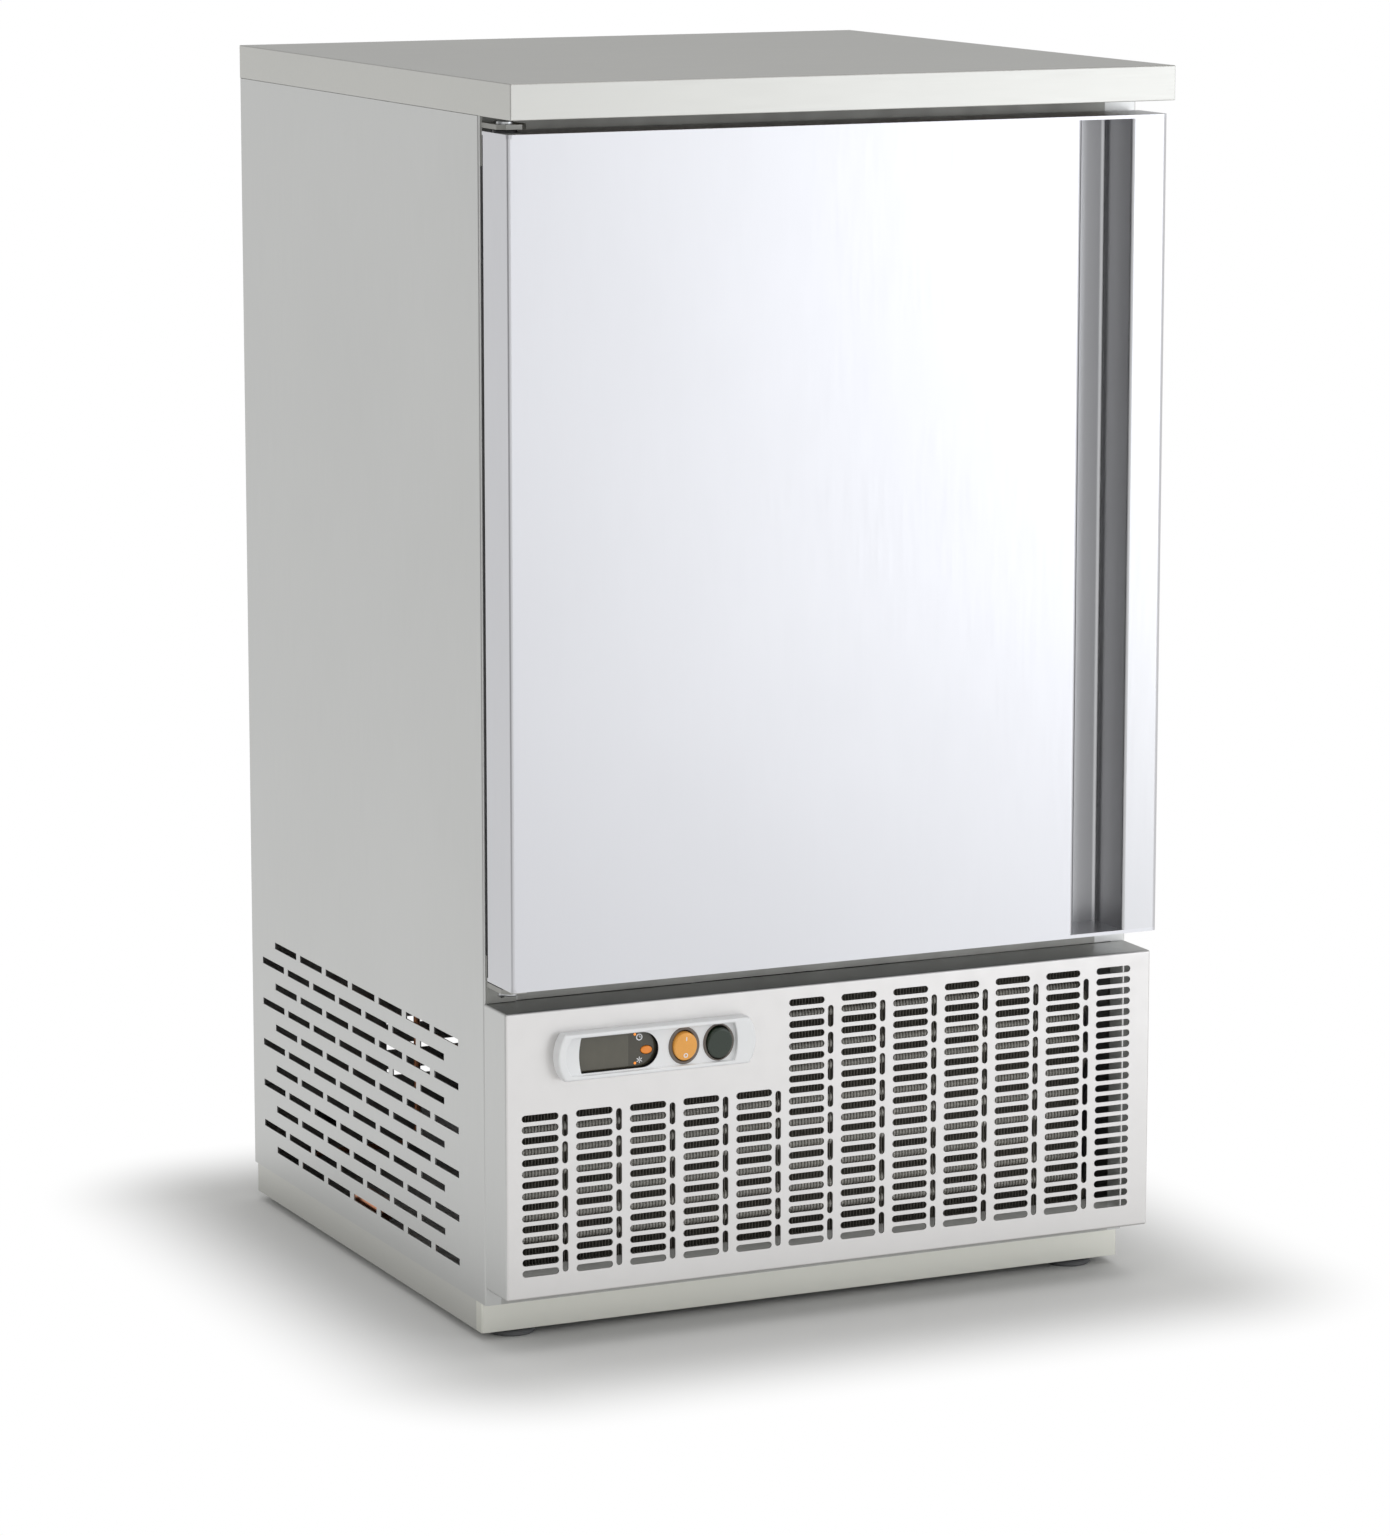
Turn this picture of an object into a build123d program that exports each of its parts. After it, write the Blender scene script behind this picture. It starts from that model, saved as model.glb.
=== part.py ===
from build123d import *
import math
import os

os.makedirs("parts", exist_ok=True)

# Millimetres. The origin is on the floor under the middle of the worktop,
# X runs to the right, Y to the back and Z up; the door faces -Y.

# Outside sizes
WIDTH = 600.0
DEPTH = 609.0
HEIGHT = 1044.0
WORKTOP_THICK = 29.0

# Depths, from the worktop's front edge to the cabinet's front
DOOR_SETBACK = 6.5
DOOR_THICK = 52.0
GASKET_THICK = 8.0
GRILLE_DEPTH = 45.0
PLINTH_SETBACK = 8.3
PLINTH_REAR_SETBACK = 7.0

# Heights, from the floor up
PLINTH_GAP = 7.5
PLINTH_HEIGHT = 25.5
GRILLE_GAP = 14.5
GRILLE_HEIGHT = 242.0
DECK_CLEAR = 0.5
DOOR_GAP_BELOW = 20.5
DOOR_GAP_ABOVE = 11.5

# Sheet metal
SHEET = 1.2
BEND = 2.0
FLANGE = 30.0
FOAM_CHAMFER = 1.0
WORKTOP_RETURN = 18.0
WORKTOP_EDGE = 0.8

LOWER_FLANGE = 14.0
BASE_TURN_UP = 30.0
PLINTH_LIP = 12.0

# Facets of what is round
HEX_SIDES = 6
STUD_SIDES = 8
ROUND_SIDES = 12
DUCT_SIDES = 18
SHELL_SIDES = 16
OVAL_SIDES = 16

# Walls round the cold cavity
SIDE_WALL = 50.0
FLOOR_WALL = 60.0
TOP_WALL = 51.0
BACK_WALL = 51.0
CAVITY_CORNER = 20.0
BREAKER_THICK = 8.0
BREAKER_DEPTH = 20.0

# Vent slots in the side panels
VENT_LENGTH = 53.0
VENT_HEIGHT = 6.0
VENT_PITCH = 62.4
VENT_ROW_PITCH = 18.8
VENT_PER_ROW = 7
VENT_ROWS = 11
VENT_SETBACK = 82.0
VENT_RISE = 24.0

# Slots in the grille
SLOT_LENGTH = 33.0
SLOT_HEIGHT = 5.0
SLOT_COLUMNS = 12
SLOT_COLUMN_PITCH = 48.5
SLOT_FIRST_COLUMN = 30.5
SLOT_ROWS = 23
SLOT_SHORT_ROWS = 15
SLOT_SHORT_COLUMNS = 5
SLOT_ROW_PITCH = 9.345
SLOT_FIRST_ROW = 22.1
UPRIGHT_WIDTH = 4.6
UPRIGHT_LENGTH = 18.8
UPRIGHT_PITCH = 22.93
UPRIGHT_OFFSET = 22.2
UPRIGHT_FIRST = 29.7
UPRIGHT_ROWS = 9
UPRIGHT_SHORT_ROWS = 6
GRILLE_LIP = 15.0

# Vent slots in the rear cover
REAR_SLOT_LENGTH = 150.0
REAR_SLOT_HEIGHT = 6.0
REAR_SLOT_PITCH = 24.0
REAR_SLOT_ROWS = 6
REAR_SLOT_COLUMNS = 2
REAR_SLOT_COLUMN_PITCH = 190.0
REAR_SLOT_RISE = 70.0

# Mains cable gland in the rear cover
GLAND_RADIUS = 10.0
GLAND_NUT_RADIUS = 14.0
GLAND_BORE = 4.0
GLAND_PROUD = 4.0
GLAND_INSIDE = 12.0
GLAND_INSET = 40.0
GLAND_RISE = 35.0

# Control bezel on the grille, and the pocket sunk in it
BEZEL_LENGTH = 166.0
BEZEL_HEIGHT = 39.0
BEZEL_BULGE = 6.2
BEZEL_PROUD = 12.0
BEZEL_WALL = 2.0
BEZEL_INSET = 131.5
BEZEL_DROP = 39.25
POCKET_HEIGHT = 32.1
POCKET_DEPTH = 4.6
POCKET_INSET_LEFT = 6.4
POCKET_INSET_RIGHT = 13.5
POCKET_BULGE_RIGHT = 2.6

# Dark window, its key and the electronics behind it
LENS_INSET = 15.8
LENS_LENGTH = 54.5
LENS_HEIGHT = 30.0
LENS_BULGE = 2.0
LENS_PROUD = 2.4
LENS_THICK = 2.0
LENS_CLEAR = 0.2
BODY_MARGIN = 1.5
BODY_DEPTH = 50.0
KEY_LENGTH = 10.3
KEY_HEIGHT = 6.8
KEY_PROUD = 1.0
KEY_THICK = 4.0
KEY_TRAVEL = 0.8
KEY_CLEAR = 0.3
KEY_X = -6.65
KEY_Z = -1.4

# Oval rocker switches
SWITCH_X = {"power": 25.2, "defrost": 56.6}
COLLAR_WIDTH = 28.0
COLLAR_HEIGHT = 31.4
COLLAR_PROUD = 1.0
BARREL_WIDTH = 26.0
BARREL_HEIGHT = 29.6
BARREL_DEPTH = 26.0
BARREL_CLEAR = 0.2
ROCKER_WIDTH = {"power": 21.0, "defrost": 22.5}
ROCKER_HEIGHT = {"power": 24.0, "defrost": 26.4}
ROCKER_PROUD = 3.5
ROCKER_THICK = 8.0
ROCKER_SIDE_CLEAR = 0.3
ROCKER_END_CLEAR = 0.85
ROCKER_TILT = 7.0
CUTOUT_CLEAR = 0.5

# Door
DOOR_SIDE_GAP = 2.0
DOOR_EDGE = 4.0
DOOR_LIP_EDGE = 6.0
DOOR_RETURN = 15.0
CAP_THICK = 3.0
LIP_WIDTH = 33.2
RECESS_WIDTH = 45.8
RECESS_DEPTH = 46.5
RECESS_CORNER = 5.0
RECESS_SEAM = 20.0
PLUG_INSET = 25.0
PLUG_DEPTH = 12.0
PLUG_TAPER = 15.0
SEAL_WIDTH = 16.0
SEAL_BASE = 3.0
SEAL_LAP = 4.0
SEAL_SHOULDER = 3.0
SEAL_GAP = 0.2

# Door hinges
HINGE_X = 12.0
HINGE_Y = 33.5
HINGE_PIN_RADIUS = 4.0
HINGE_PIN_REACH = 14.0
HINGE_HEAD_RADIUS = 7.0
HINGE_HEAD_THICK = 3.0
HINGE_RUN_CLEAR = 0.05
BUSH_RADIUS = 8.0
BUSH_LENGTH = 18.0
BUSH_FLANGE_RADIUS = 10.0
BUSH_FLANGE_THICK = 2.0
BUSH_SEAT_CLEAR = 0.1
BRACKET_THICK = 4.0
BRACKET_PLATE = 3.0
BRACKET_WIDTH = 26.0
BRACKET_HEIGHT = 40.0
BRACKET_MARGIN = 12.0
BRACKET_OFFSET = 3.0
TOP_HINGE_CLEAR = 0.5

# Adjustable feet
FOOT_INSET_X = 36.0
FOOT_INSET_Y = 23.2
FOOT_PAD_RADIUS = 20.0
FOOT_PAD_THICK = 5.0
FOOT_HEX_RADIUS = 9.5
FOOT_HEX_THICK = 8.0
FOOT_STUD_RADIUS = 5.0
FOOT_SEAT_RADIUS = 11.0
FOOT_STUD_SHORT = 1.0
THREAD_CLEAR = 0.05

# Pipes that pass through the cavity's floor
DRAIN_RADIUS = 8.0
DRAIN_WALL = 1.5
DRAIN_INSET = 32.0
DRAIN_BELOW = 225.0
LINE_CLEAR = 0.4
SUCTION_RADIUS = 5.0
LIQUID_RADIUS = 3.0
LINE_INSET = 24.0
SUCTION_FIN_GAP = 7
LIQUID_FIN_GAP = 0

# Condenser and its fan
CONDENSER_SETBACK = 16.0
CONDENSER_INSET = 24.0
CONDENSER_DEPTH = 38.0
CONDENSER_HEIGHT = 236.0
FIN_COUNT = 18
FIN_THICK = 1.5
TUBE_RADIUS = 5.0
TUBE_ROWS = 6
TUBE_MARGIN = 20.0
TUBE_SEAT = 0.2
HOOD_RADIUS = 100.0
HOOD_DEPTH = 26.0
FAN_BLADES = 5
FAN_TIP_GAP = 5.0
FAN_HUB_RADIUS = 22.0
FAN_HUB_LENGTH = 16.0
FAN_BLADE_THICK = 2.0
FAN_BLADE_WIDTH = 44.0
FAN_PITCH = 28.0
FAN_STAND_OFF = 4.0
SHAFT_RADIUS = 3.0
SHAFT_IN_MOTOR = 14.0
SHAFT_CLEAR = 0.05
MOTOR_RADIUS = 32.0
MOTOR_LENGTH = 44.0
MOTOR_GAP = 1.0
STRUT_WIDTH = 18.0
STRUT_THICK = 2.0

# Compressor, on rubber mounts
COMPRESSOR_Y = 128.0
COMPRESSOR_RADIUS = 74.0
COMPRESSOR_HEIGHT = 160.0
COMPRESSOR_DOME = 34.0
COMPRESSOR_BEVEL = 8.5
CARRIER_LENGTH = 190.0
CARRIER_WIDTH = 130.0
CARRIER_THICK = 3.0
MOUNT_RADIUS = 12.0
MOUNT_HEIGHT = 16.0
MOUNT_INSET = 14.0
RELAY_SIZE = (30.0, 60.0, 55.0)
RELAY_RISE = 50.0
RELAY_LAP = 18.5
DRIER_RADIUS = 9.0
DRIER_LENGTH = 90.0
DRIER_Y = 0.0
DISCHARGE_RADIUS = 4.0
PIPE_BEND = 16.0
PIPE_GAP = 0.2
PIPE_INSET = 12.0
SUCTION_ENTRY = 110.0
TRAY_LENGTH = 170.0
TRAY_WIDTH = 120.0
TRAY_HEIGHT = 40.0
TRAY_WALL = 1.5
TRAY_X = -60.0

# Evaporator, its cover and fan, at the back of the cavity
COVER_SIDE_GAP = 10.0
COVER_DEPTH = 70.0
COVER_TOP_GAP = 9.0
COVER_HEIGHT = 395.0
COIL_SIDE_GAP = 40.0
COIL_HEIGHT = 150.0
COIL_DEPTH = 48.0
COIL_FINS = 10
COIL_ROWS = 3
COIL_MARGIN = 16.0
COIL_RISE = 20.0
COIL_TUBE_RADIUS = 4.0
COVER_FAN_RADIUS = 76.0
COVER_FAN_DROP = 100.0
COVER_MOTOR_RADIUS = 26.0
COVER_MOTOR_LENGTH = 36.0

# Shelves and what carries them
CHANNEL_WIDTH = 18.0
CHANNEL_DEPTH = 8.0
CHANNEL_WALL = 1.5
CHANNEL_MARGIN = 34.0
CHANNEL_FRONT = 70.0
CHANNEL_SPACING = 300.0
CLIP_HEIGHT = 12.0
CLIP_REACH = 16.0
CLIP_CHAMFER = 8.4
SHELF_RISES = (150.0, 370.0)
SHELF_SIDE_GAP = 2.0
SHELF_FRONT = 20.0
SHELF_DEPTH = 390.0
SHELF_WIRES = 11
SHELF_WIRE_RADIUS = 2.5
SHELF_BEARER_RADIUS = 4.0

# Faces that the pieces share
LEFT = -WIDTH / 2
RIGHT = WIDTH / 2
FRONT = -DEPTH / 2
BACK = DEPTH / 2
DOOR_FRONT = FRONT + DOOR_SETBACK
DOOR_BACK = DOOR_FRONT + DOOR_THICK
BODY_FRONT = DOOR_BACK + GASKET_THICK
GRILLE_FRONT = BODY_FRONT - GRILLE_DEPTH
BODY_BOTTOM = PLINTH_GAP + PLINTH_HEIGHT
BODY_TOP = HEIGHT - WORKTOP_THICK
GRILLE_BOTTOM = BODY_BOTTOM + GRILLE_GAP
GRILLE_TOP = GRILLE_BOTTOM + GRILLE_HEIGHT
DOOR_BOTTOM = GRILLE_TOP + DOOR_GAP_BELOW
DOOR_TOP = BODY_TOP - DOOR_GAP_ABOVE
DECK_BOTTOM = GRILLE_TOP + DECK_CLEAR
DECK_TOP = DECK_BOTTOM + SHEET
CAVITY_LEFT = LEFT + SIDE_WALL
CAVITY_RIGHT = RIGHT - SIDE_WALL
CAVITY_BOTTOM = DECK_BOTTOM + FLOOR_WALL
CAVITY_TOP = BODY_TOP - TOP_WALL
CAVITY_BACK = BACK - BACK_WALL
LINER_FRONT = BODY_FRONT + BREAKER_DEPTH
INNER_FRONT = BODY_FRONT + SHEET
INNER_BACK = BACK - SHEET
BASE_TOP = BODY_BOTTOM + SHEET
DOOR_WIDTH = WIDTH - DOOR_SIDE_GAP
RECESS_LEFT = DOOR_WIDTH - LIP_WIDTH - RECESS_WIDTH
COVER_WIDTH = CAVITY_RIGHT - CAVITY_LEFT - 2 * COVER_SIDE_GAP
COVER_BOTTOM = CAVITY_TOP - COVER_TOP_GAP - COVER_HEIGHT
COIL_WIDTH = COVER_WIDTH - 2 * COIL_SIDE_GAP
COIL_FIN_PITCH = (COIL_WIDTH - 4 * COIL_TUBE_RADIUS - FIN_THICK) / (COIL_FINS - 1)
COIL_FIRST_GAP = (COIL_FIN_PITCH - COIL_WIDTH + 4 * COIL_TUBE_RADIUS + FIN_THICK) / 2
SUCTION_X = COIL_FIRST_GAP + SUCTION_FIN_GAP * COIL_FIN_PITCH
LIQUID_X = COIL_FIRST_GAP + LIQUID_FIN_GAP * COIL_FIN_PITCH
LINE_Y = CAVITY_BACK - LINE_INSET
COMPRESSOR_X = SUCTION_X
THROUGH_SHEET = 3 * SHEET


def block(x, y, z):
    """A box between the two values given for each axis."""
    size = (x[1] - x[0], y[1] - y[0], z[1] - z[0])
    middle = (sum(x) / 2, sum(y) / 2, sum(z) / 2)
    return Pos(*middle) * Box(*size)


def folded_section(points, radius, thickness):
    """The section of a folded sheet, its outside on the points, its wall to their left."""
    outside = FilletPolyline(*points, radius=radius) if radius else Polyline(*points)
    wall = offset(Wire(outside.edges()), amount=thickness, side=Side.LEFT, closed=True,
                  kind=Kind.INTERSECTION)
    return make_face(wall.edges())


def rod(x, y, z, radius, axis, length, sides=ROUND_SIDES):
    """A round bar, cut as facets, that starts at a point and runs along an axis."""
    plane = Plane(origin=(x, y, z), z_dir=axis)
    return extrude(plane * RegularPolygon(radius, sides), length)


def bore(x, y, z, radius, axis, length, sides=ROUND_SIDES):
    """A hole whose facets all stand clear of a round bar of the radius."""
    return rod(x, y, z, radius / math.cos(math.pi / sides), axis, length, sides)


def oval(width, height, sides):
    """An ellipse cut as facets."""
    turns = [2 * math.pi * number / sides for number in range(sides)]
    return make_face(Polyline(*[(width / 2 * math.cos(turn), height / 2 * math.sin(turn)) for turn in turns],
                              close=True))


def rounded_ring(outer, inner, outer_radius, inner_radius, y):
    """A ring round the cavity's mouth; outer and inner are (x0, x1, z0, z1)."""
    solid = rounded_plate(outer, outer_radius, y)
    return solid - rounded_plate(inner, inner_radius, y)


def rounded_plate(edges, radius, y):
    """An upright plate with round corners between two depths."""
    x0, x1, z0, z1 = edges
    if radius:
        outline = RectangleRounded(x1 - x0, z1 - z0, radius)
    else:
        outline = Rectangle(x1 - x0, z1 - z0)
    plane = Plane(origin=((x0 + x1) / 2, y[1], (z0 + z1) / 2), x_dir=(1, 0, 0), z_dir=(0, -1, 0))
    return extrude(plane * outline, y[1] - y[0])


def grown(edges, amount):
    """The same rectangle, larger by an amount all round."""
    x0, x1, z0, z1 = edges
    return (x0 - amount, x1 + amount, z0 - amount, z1 + amount)


CAVITY = (CAVITY_LEFT, CAVITY_RIGHT, CAVITY_BOTTOM, CAVITY_TOP)
pieces = {}


# Worktop: a steel tray turned down all round and back under, on a board

def worktop():
    tray = block((LEFT, RIGHT), (FRONT, BACK), (BODY_TOP, HEIGHT))
    tray = chamfer(tray.faces().sort_by(Axis.Z)[-1].edges(), WORKTOP_EDGE)
    mouth = SHEET + WORKTOP_RETURN
    opening = block((LEFT + mouth, RIGHT - mouth), (FRONT + mouth, BACK - mouth), (BODY_TOP, HEIGHT - SHEET))
    return tray - worktop_core() - opening


def worktop_core():
    inner_x = (LEFT + SHEET, RIGHT - SHEET)
    inner_y = (FRONT + SHEET, BACK - SHEET)
    core = block(inner_x, inner_y, (BODY_TOP + SHEET, HEIGHT - SHEET))
    return chamfer(core.edges().filter_by(Axis.Z), FOAM_CHAMFER)


# Cabinet shell: two folded side panels and the sheets between them

def side_vents():
    slots = []
    for row in range(VENT_ROWS):
        z = BODY_BOTTOM + VENT_RISE + row * VENT_ROW_PITCH
        first = BODY_FRONT + VENT_SETBACK + (row % 2) * VENT_PITCH / 2
        for number in range(VENT_PER_ROW):
            y = first + number * VENT_PITCH
            slots.append(Pos(LEFT + SHEET / 2, y, z) * Box(THROUGH_SHEET, VENT_LENGTH, VENT_HEIGHT))
    return slots


def side_panel():
    turn = LEFT + FLANGE
    points = [(turn, BACK), (LEFT, BACK), (LEFT, BODY_FRONT), (turn, BODY_FRONT)]
    panel = extrude(folded_section(points, BEND, SHEET), BODY_TOP - BODY_BOTTOM)
    cut_back = block((LEFT + LOWER_FLANGE, turn), (BODY_FRONT, INNER_FRONT), (BODY_BOTTOM, DECK_BOTTOM))
    return Pos(0, 0, BODY_BOTTOM) * panel - cut_back


def inner_sheet(z):
    """A level sheet that fills the plan between the side panels."""
    sheet = block((LEFT + SHEET, RIGHT - SHEET), (INNER_FRONT, INNER_BACK), z)
    return chamfer(sheet.edges().filter_by(Axis.Z), FOAM_CHAMFER)


def front_frame():
    edges = (LEFT + FLANGE, RIGHT - FLANGE, DECK_BOTTOM, BODY_TOP)
    hole = grown(CAVITY, BREAKER_THICK)
    return rounded_ring(edges, hole, 0, CAVITY_CORNER + BREAKER_THICK, (BODY_FRONT, INNER_FRONT))


def breaker_strip():
    """The plastic frame that joins the outer steel to the liner and stops the cold."""
    outer = grown(CAVITY, BREAKER_THICK)
    return rounded_ring(outer, CAVITY, CAVITY_CORNER + BREAKER_THICK, CAVITY_CORNER,
                        (BODY_FRONT, LINER_FRONT))


def inner_liner():
    """The cavity's tub; its front edge butts on the breaker strip."""
    tub = rounded_plate(grown(CAVITY, SHEET), CAVITY_CORNER + SHEET, (LINER_FRONT, CAVITY_BACK + SHEET))
    hollow = rounded_plate(CAVITY, CAVITY_CORNER, (LINER_FRONT, CAVITY_BACK))
    return tub - hollow - drain_bore(DRAIN_RADIUS + LINE_CLEAR) - line_bores()


def insulation():
    foam = block((LEFT + SHEET, RIGHT - SHEET), (INNER_FRONT, INNER_BACK), (DECK_TOP, BODY_TOP - SHEET))
    foam = chamfer(foam.edges().filter_by(Axis.Z), FOAM_CHAMFER)
    strip = rounded_plate(grown(CAVITY, BREAKER_THICK), CAVITY_CORNER + BREAKER_THICK,
                          (INNER_FRONT, LINER_FRONT))
    tub = rounded_plate(grown(CAVITY, SHEET), CAVITY_CORNER + SHEET, (INNER_FRONT, CAVITY_BACK + SHEET))
    foam = foam - strip - tub - drain_bore(DRAIN_RADIUS + LINE_CLEAR)
    return foam - line_bores()


def drain_bore(radius):
    """The drain's way down through the cavity's floor."""
    y = CAVITY_BACK - DRAIN_INSET
    return rod(0, y, DECK_BOTTOM - DRAIN_BELOW, radius, (0, 0, 1), FLOOR_WALL + DRAIN_BELOW, sides=STUD_SIDES)


def line_bores():
    """The ways of the two refrigerant lines through the deck, the foam and the tub."""
    length = CAVITY_BOTTOM - DECK_BOTTOM
    return [bore(SUCTION_X, LINE_Y, DECK_BOTTOM, SUCTION_RADIUS + LINE_CLEAR, (0, 0, 1), length,
                 sides=HEX_SIDES),
            bore(LIQUID_X, LINE_Y, DECK_BOTTOM, LIQUID_RADIUS + LINE_CLEAR, (0, 0, 1), length,
                 sides=HEX_SIDES)]


def deck_sheet():
    return inner_sheet((DECK_BOTTOM, DECK_TOP)) - drain_bore(DRAIN_RADIUS + LINE_CLEAR) - line_bores()


def roof_sheet():
    return inner_sheet((BODY_TOP - SHEET, BODY_TOP))


def rear_panel():
    return block((LEFT + FLANGE, RIGHT - FLANGE), (INNER_BACK, BACK), (DECK_BOTTOM, BODY_TOP))


def rear_cover():
    cover = block((LEFT + FLANGE, RIGHT - FLANGE), (INNER_BACK, BACK), (BODY_BOTTOM, DECK_BOTTOM))
    slot = Box(REAR_SLOT_LENGTH, THROUGH_SHEET, REAR_SLOT_HEIGHT)
    for column in range(REAR_SLOT_COLUMNS):
        x = (column - (REAR_SLOT_COLUMNS - 1) / 2) * REAR_SLOT_COLUMN_PITCH
        for row in range(REAR_SLOT_ROWS):
            z = BODY_BOTTOM + REAR_SLOT_RISE + row * REAR_SLOT_PITCH
            cover -= Pos(x, BACK - SHEET / 2, z) * slot
    return cover - gland_barrel(GLAND_RADIUS)


def gland_barrel(radius):
    x = LEFT + FLANGE + GLAND_INSET
    z = BODY_BOTTOM + GLAND_RISE
    return rod(x, INNER_BACK - GLAND_INSIDE, z, radius, (0, 1, 0), GLAND_INSIDE + SHEET)


def cable_gland():
    """A screwed gland: a barrel through the sheet and a six-sided collar outside it."""
    x = LEFT + FLANGE + GLAND_INSET
    z = BODY_BOTTOM + GLAND_RISE
    collar = rod(x, BACK, z, GLAND_NUT_RADIUS, (0, -1, 0), -GLAND_PROUD, sides=HEX_SIDES)
    way = rod(x, INNER_BACK - GLAND_INSIDE, z, GLAND_BORE, (0, 1, 0), GLAND_INSIDE + SHEET + GLAND_PROUD)
    return gland_barrel(GLAND_RADIUS) + collar - way


# Base, plinth and feet

FOOT_PLACES = {
    "front_left": (LEFT + FOOT_INSET_X, BODY_FRONT + PLINTH_SETBACK + FOOT_INSET_Y),
    "front_right": (RIGHT - FOOT_INSET_X, BODY_FRONT + PLINTH_SETBACK + FOOT_INSET_Y),
    "rear_left": (LEFT + FOOT_INSET_X, BACK - PLINTH_REAR_SETBACK - FOOT_INSET_Y),
    "rear_right": (RIGHT - FOOT_INSET_X, BACK - PLINTH_REAR_SETBACK - FOOT_INSET_Y),
}
FOOT_TOP = FOOT_PAD_THICK + FOOT_HEX_THICK


def base_plate():
    """The machine compartment's floor, turned up at the front behind the grille."""
    plate = inner_sheet((BODY_BOTTOM, BASE_TOP))
    edge = (LEFT + LOWER_FLANGE, RIGHT - LOWER_FLANGE)
    plate += block(edge, (BODY_FRONT, INNER_FRONT), (BODY_BOTTOM, BODY_BOTTOM + BASE_TURN_UP))
    return plate


def plinth_front():
    y = BODY_FRONT + PLINTH_SETBACK
    points = [(y + PLINTH_LIP, BODY_BOTTOM), (y, BODY_BOTTOM), (y, PLINTH_GAP)]
    section = folded_section(points, 0, SHEET)
    return extrude(Plane.YZ * section, WIDTH / 2, both=True)


def plinth_rear():
    y = BACK - PLINTH_REAR_SETBACK
    points = [(y, PLINTH_GAP), (y, BODY_BOTTOM), (y - PLINTH_LIP, BODY_BOTTOM)]
    section = folded_section(points, 0, SHEET)
    return extrude(Plane.YZ * section, WIDTH / 2, both=True)


def plinth_side():
    """One side skirt, between the lips of the front and rear ones."""
    points = [(LEFT + PLINTH_LIP, BODY_BOTTOM), (LEFT, BODY_BOTTOM), (LEFT, PLINTH_GAP)]
    start = BODY_FRONT + PLINTH_SETBACK + PLINTH_LIP
    end = BACK - PLINTH_REAR_SETBACK - PLINTH_LIP
    section = folded_section(points, 0, SHEET)
    return extrude(Plane(origin=(0, end, 0), x_dir=(1, 0, 0), z_dir=(0, -1, 0)) * section, end - start)


def plinth_skirts():
    """The rear skirt and the two side ones."""
    left = plinth_side()
    return Compound([plinth_rear(), left, mirror(left, about=Plane.YZ)])


def foot_inserts():
    """Threaded bosses welded under the base plate, one over each foot."""
    bosses = []
    for x, y in FOOT_PLACES.values():
        height = BODY_BOTTOM - FOOT_TOP
        boss = rod(x, y, FOOT_TOP, FOOT_SEAT_RADIUS, (0, 0, 1), height, sides=HEX_SIDES)
        boss -= bore(x, y, FOOT_TOP, FOOT_STUD_RADIUS + THREAD_CLEAR, (0, 0, 1), height, sides=STUD_SIDES)
        bosses.append(boss.solid())
    return Compound(bosses)


def foot(x, y):
    """A levelling foot, screwed right in: pad, spanner hexagon and stud."""
    up = (0, 0, 1)
    pad = rod(x, y, 0, FOOT_PAD_RADIUS, up, FOOT_PAD_THICK)
    hexagon = rod(x, y, FOOT_PAD_THICK, FOOT_HEX_RADIUS, up, FOOT_HEX_THICK, sides=HEX_SIDES)
    stud = rod(x, y, FOOT_TOP, FOOT_STUD_RADIUS, up, BODY_BOTTOM - FOOT_TOP - FOOT_STUD_SHORT,
               sides=STUD_SIDES)
    return pad + hexagon + stud


# Grille: a folded box front, slotted for the condenser's air

def grille_slots():
    slots = []
    y = GRILLE_FRONT + SHEET / 2
    level = Box(SLOT_LENGTH, THROUGH_SHEET, SLOT_HEIGHT)
    upright = Box(UPRIGHT_WIDTH, THROUGH_SHEET, UPRIGHT_LENGTH)
    for column in range(SLOT_COLUMNS):
        short = column < SLOT_SHORT_COLUMNS
        x = LEFT + SLOT_FIRST_COLUMN + column * SLOT_COLUMN_PITCH
        for row in range(SLOT_SHORT_ROWS if short else SLOT_ROWS):
            z = GRILLE_BOTTOM + SLOT_FIRST_ROW + row * SLOT_ROW_PITCH
            slots.append(Pos(x, y, z) * level)
        if column == SLOT_COLUMNS - 1:
            continue
        for row in range(UPRIGHT_SHORT_ROWS if short else UPRIGHT_ROWS):
            z = GRILLE_BOTTOM + UPRIGHT_FIRST + row * UPRIGHT_PITCH
            slots.append(Pos(x + UPRIGHT_OFFSET, y, z) * upright)
    return slots


def grille_panel():
    inside = (LEFT + SHEET, RIGHT - SHEET)
    panel = block((LEFT, RIGHT), (GRILLE_FRONT, BODY_FRONT), (GRILLE_BOTTOM, GRILLE_TOP))
    panel = chamfer(panel.faces().sort_by(Axis.Y)[0].edges(), SHEET / 2)
    panel -= block(inside, (GRILLE_FRONT + SHEET, BODY_FRONT), (GRILLE_BOTTOM + SHEET, GRILLE_TOP - SHEET))
    panel -= block(inside, (GRILLE_FRONT + GRILLE_LIP, BODY_FRONT), (GRILLE_BOTTOM, GRILLE_BOTTOM + SHEET))
    return panel - grille_slots() - control_cutouts()


# Controls: a white moulding that carries the window and two rocker switches

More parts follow.
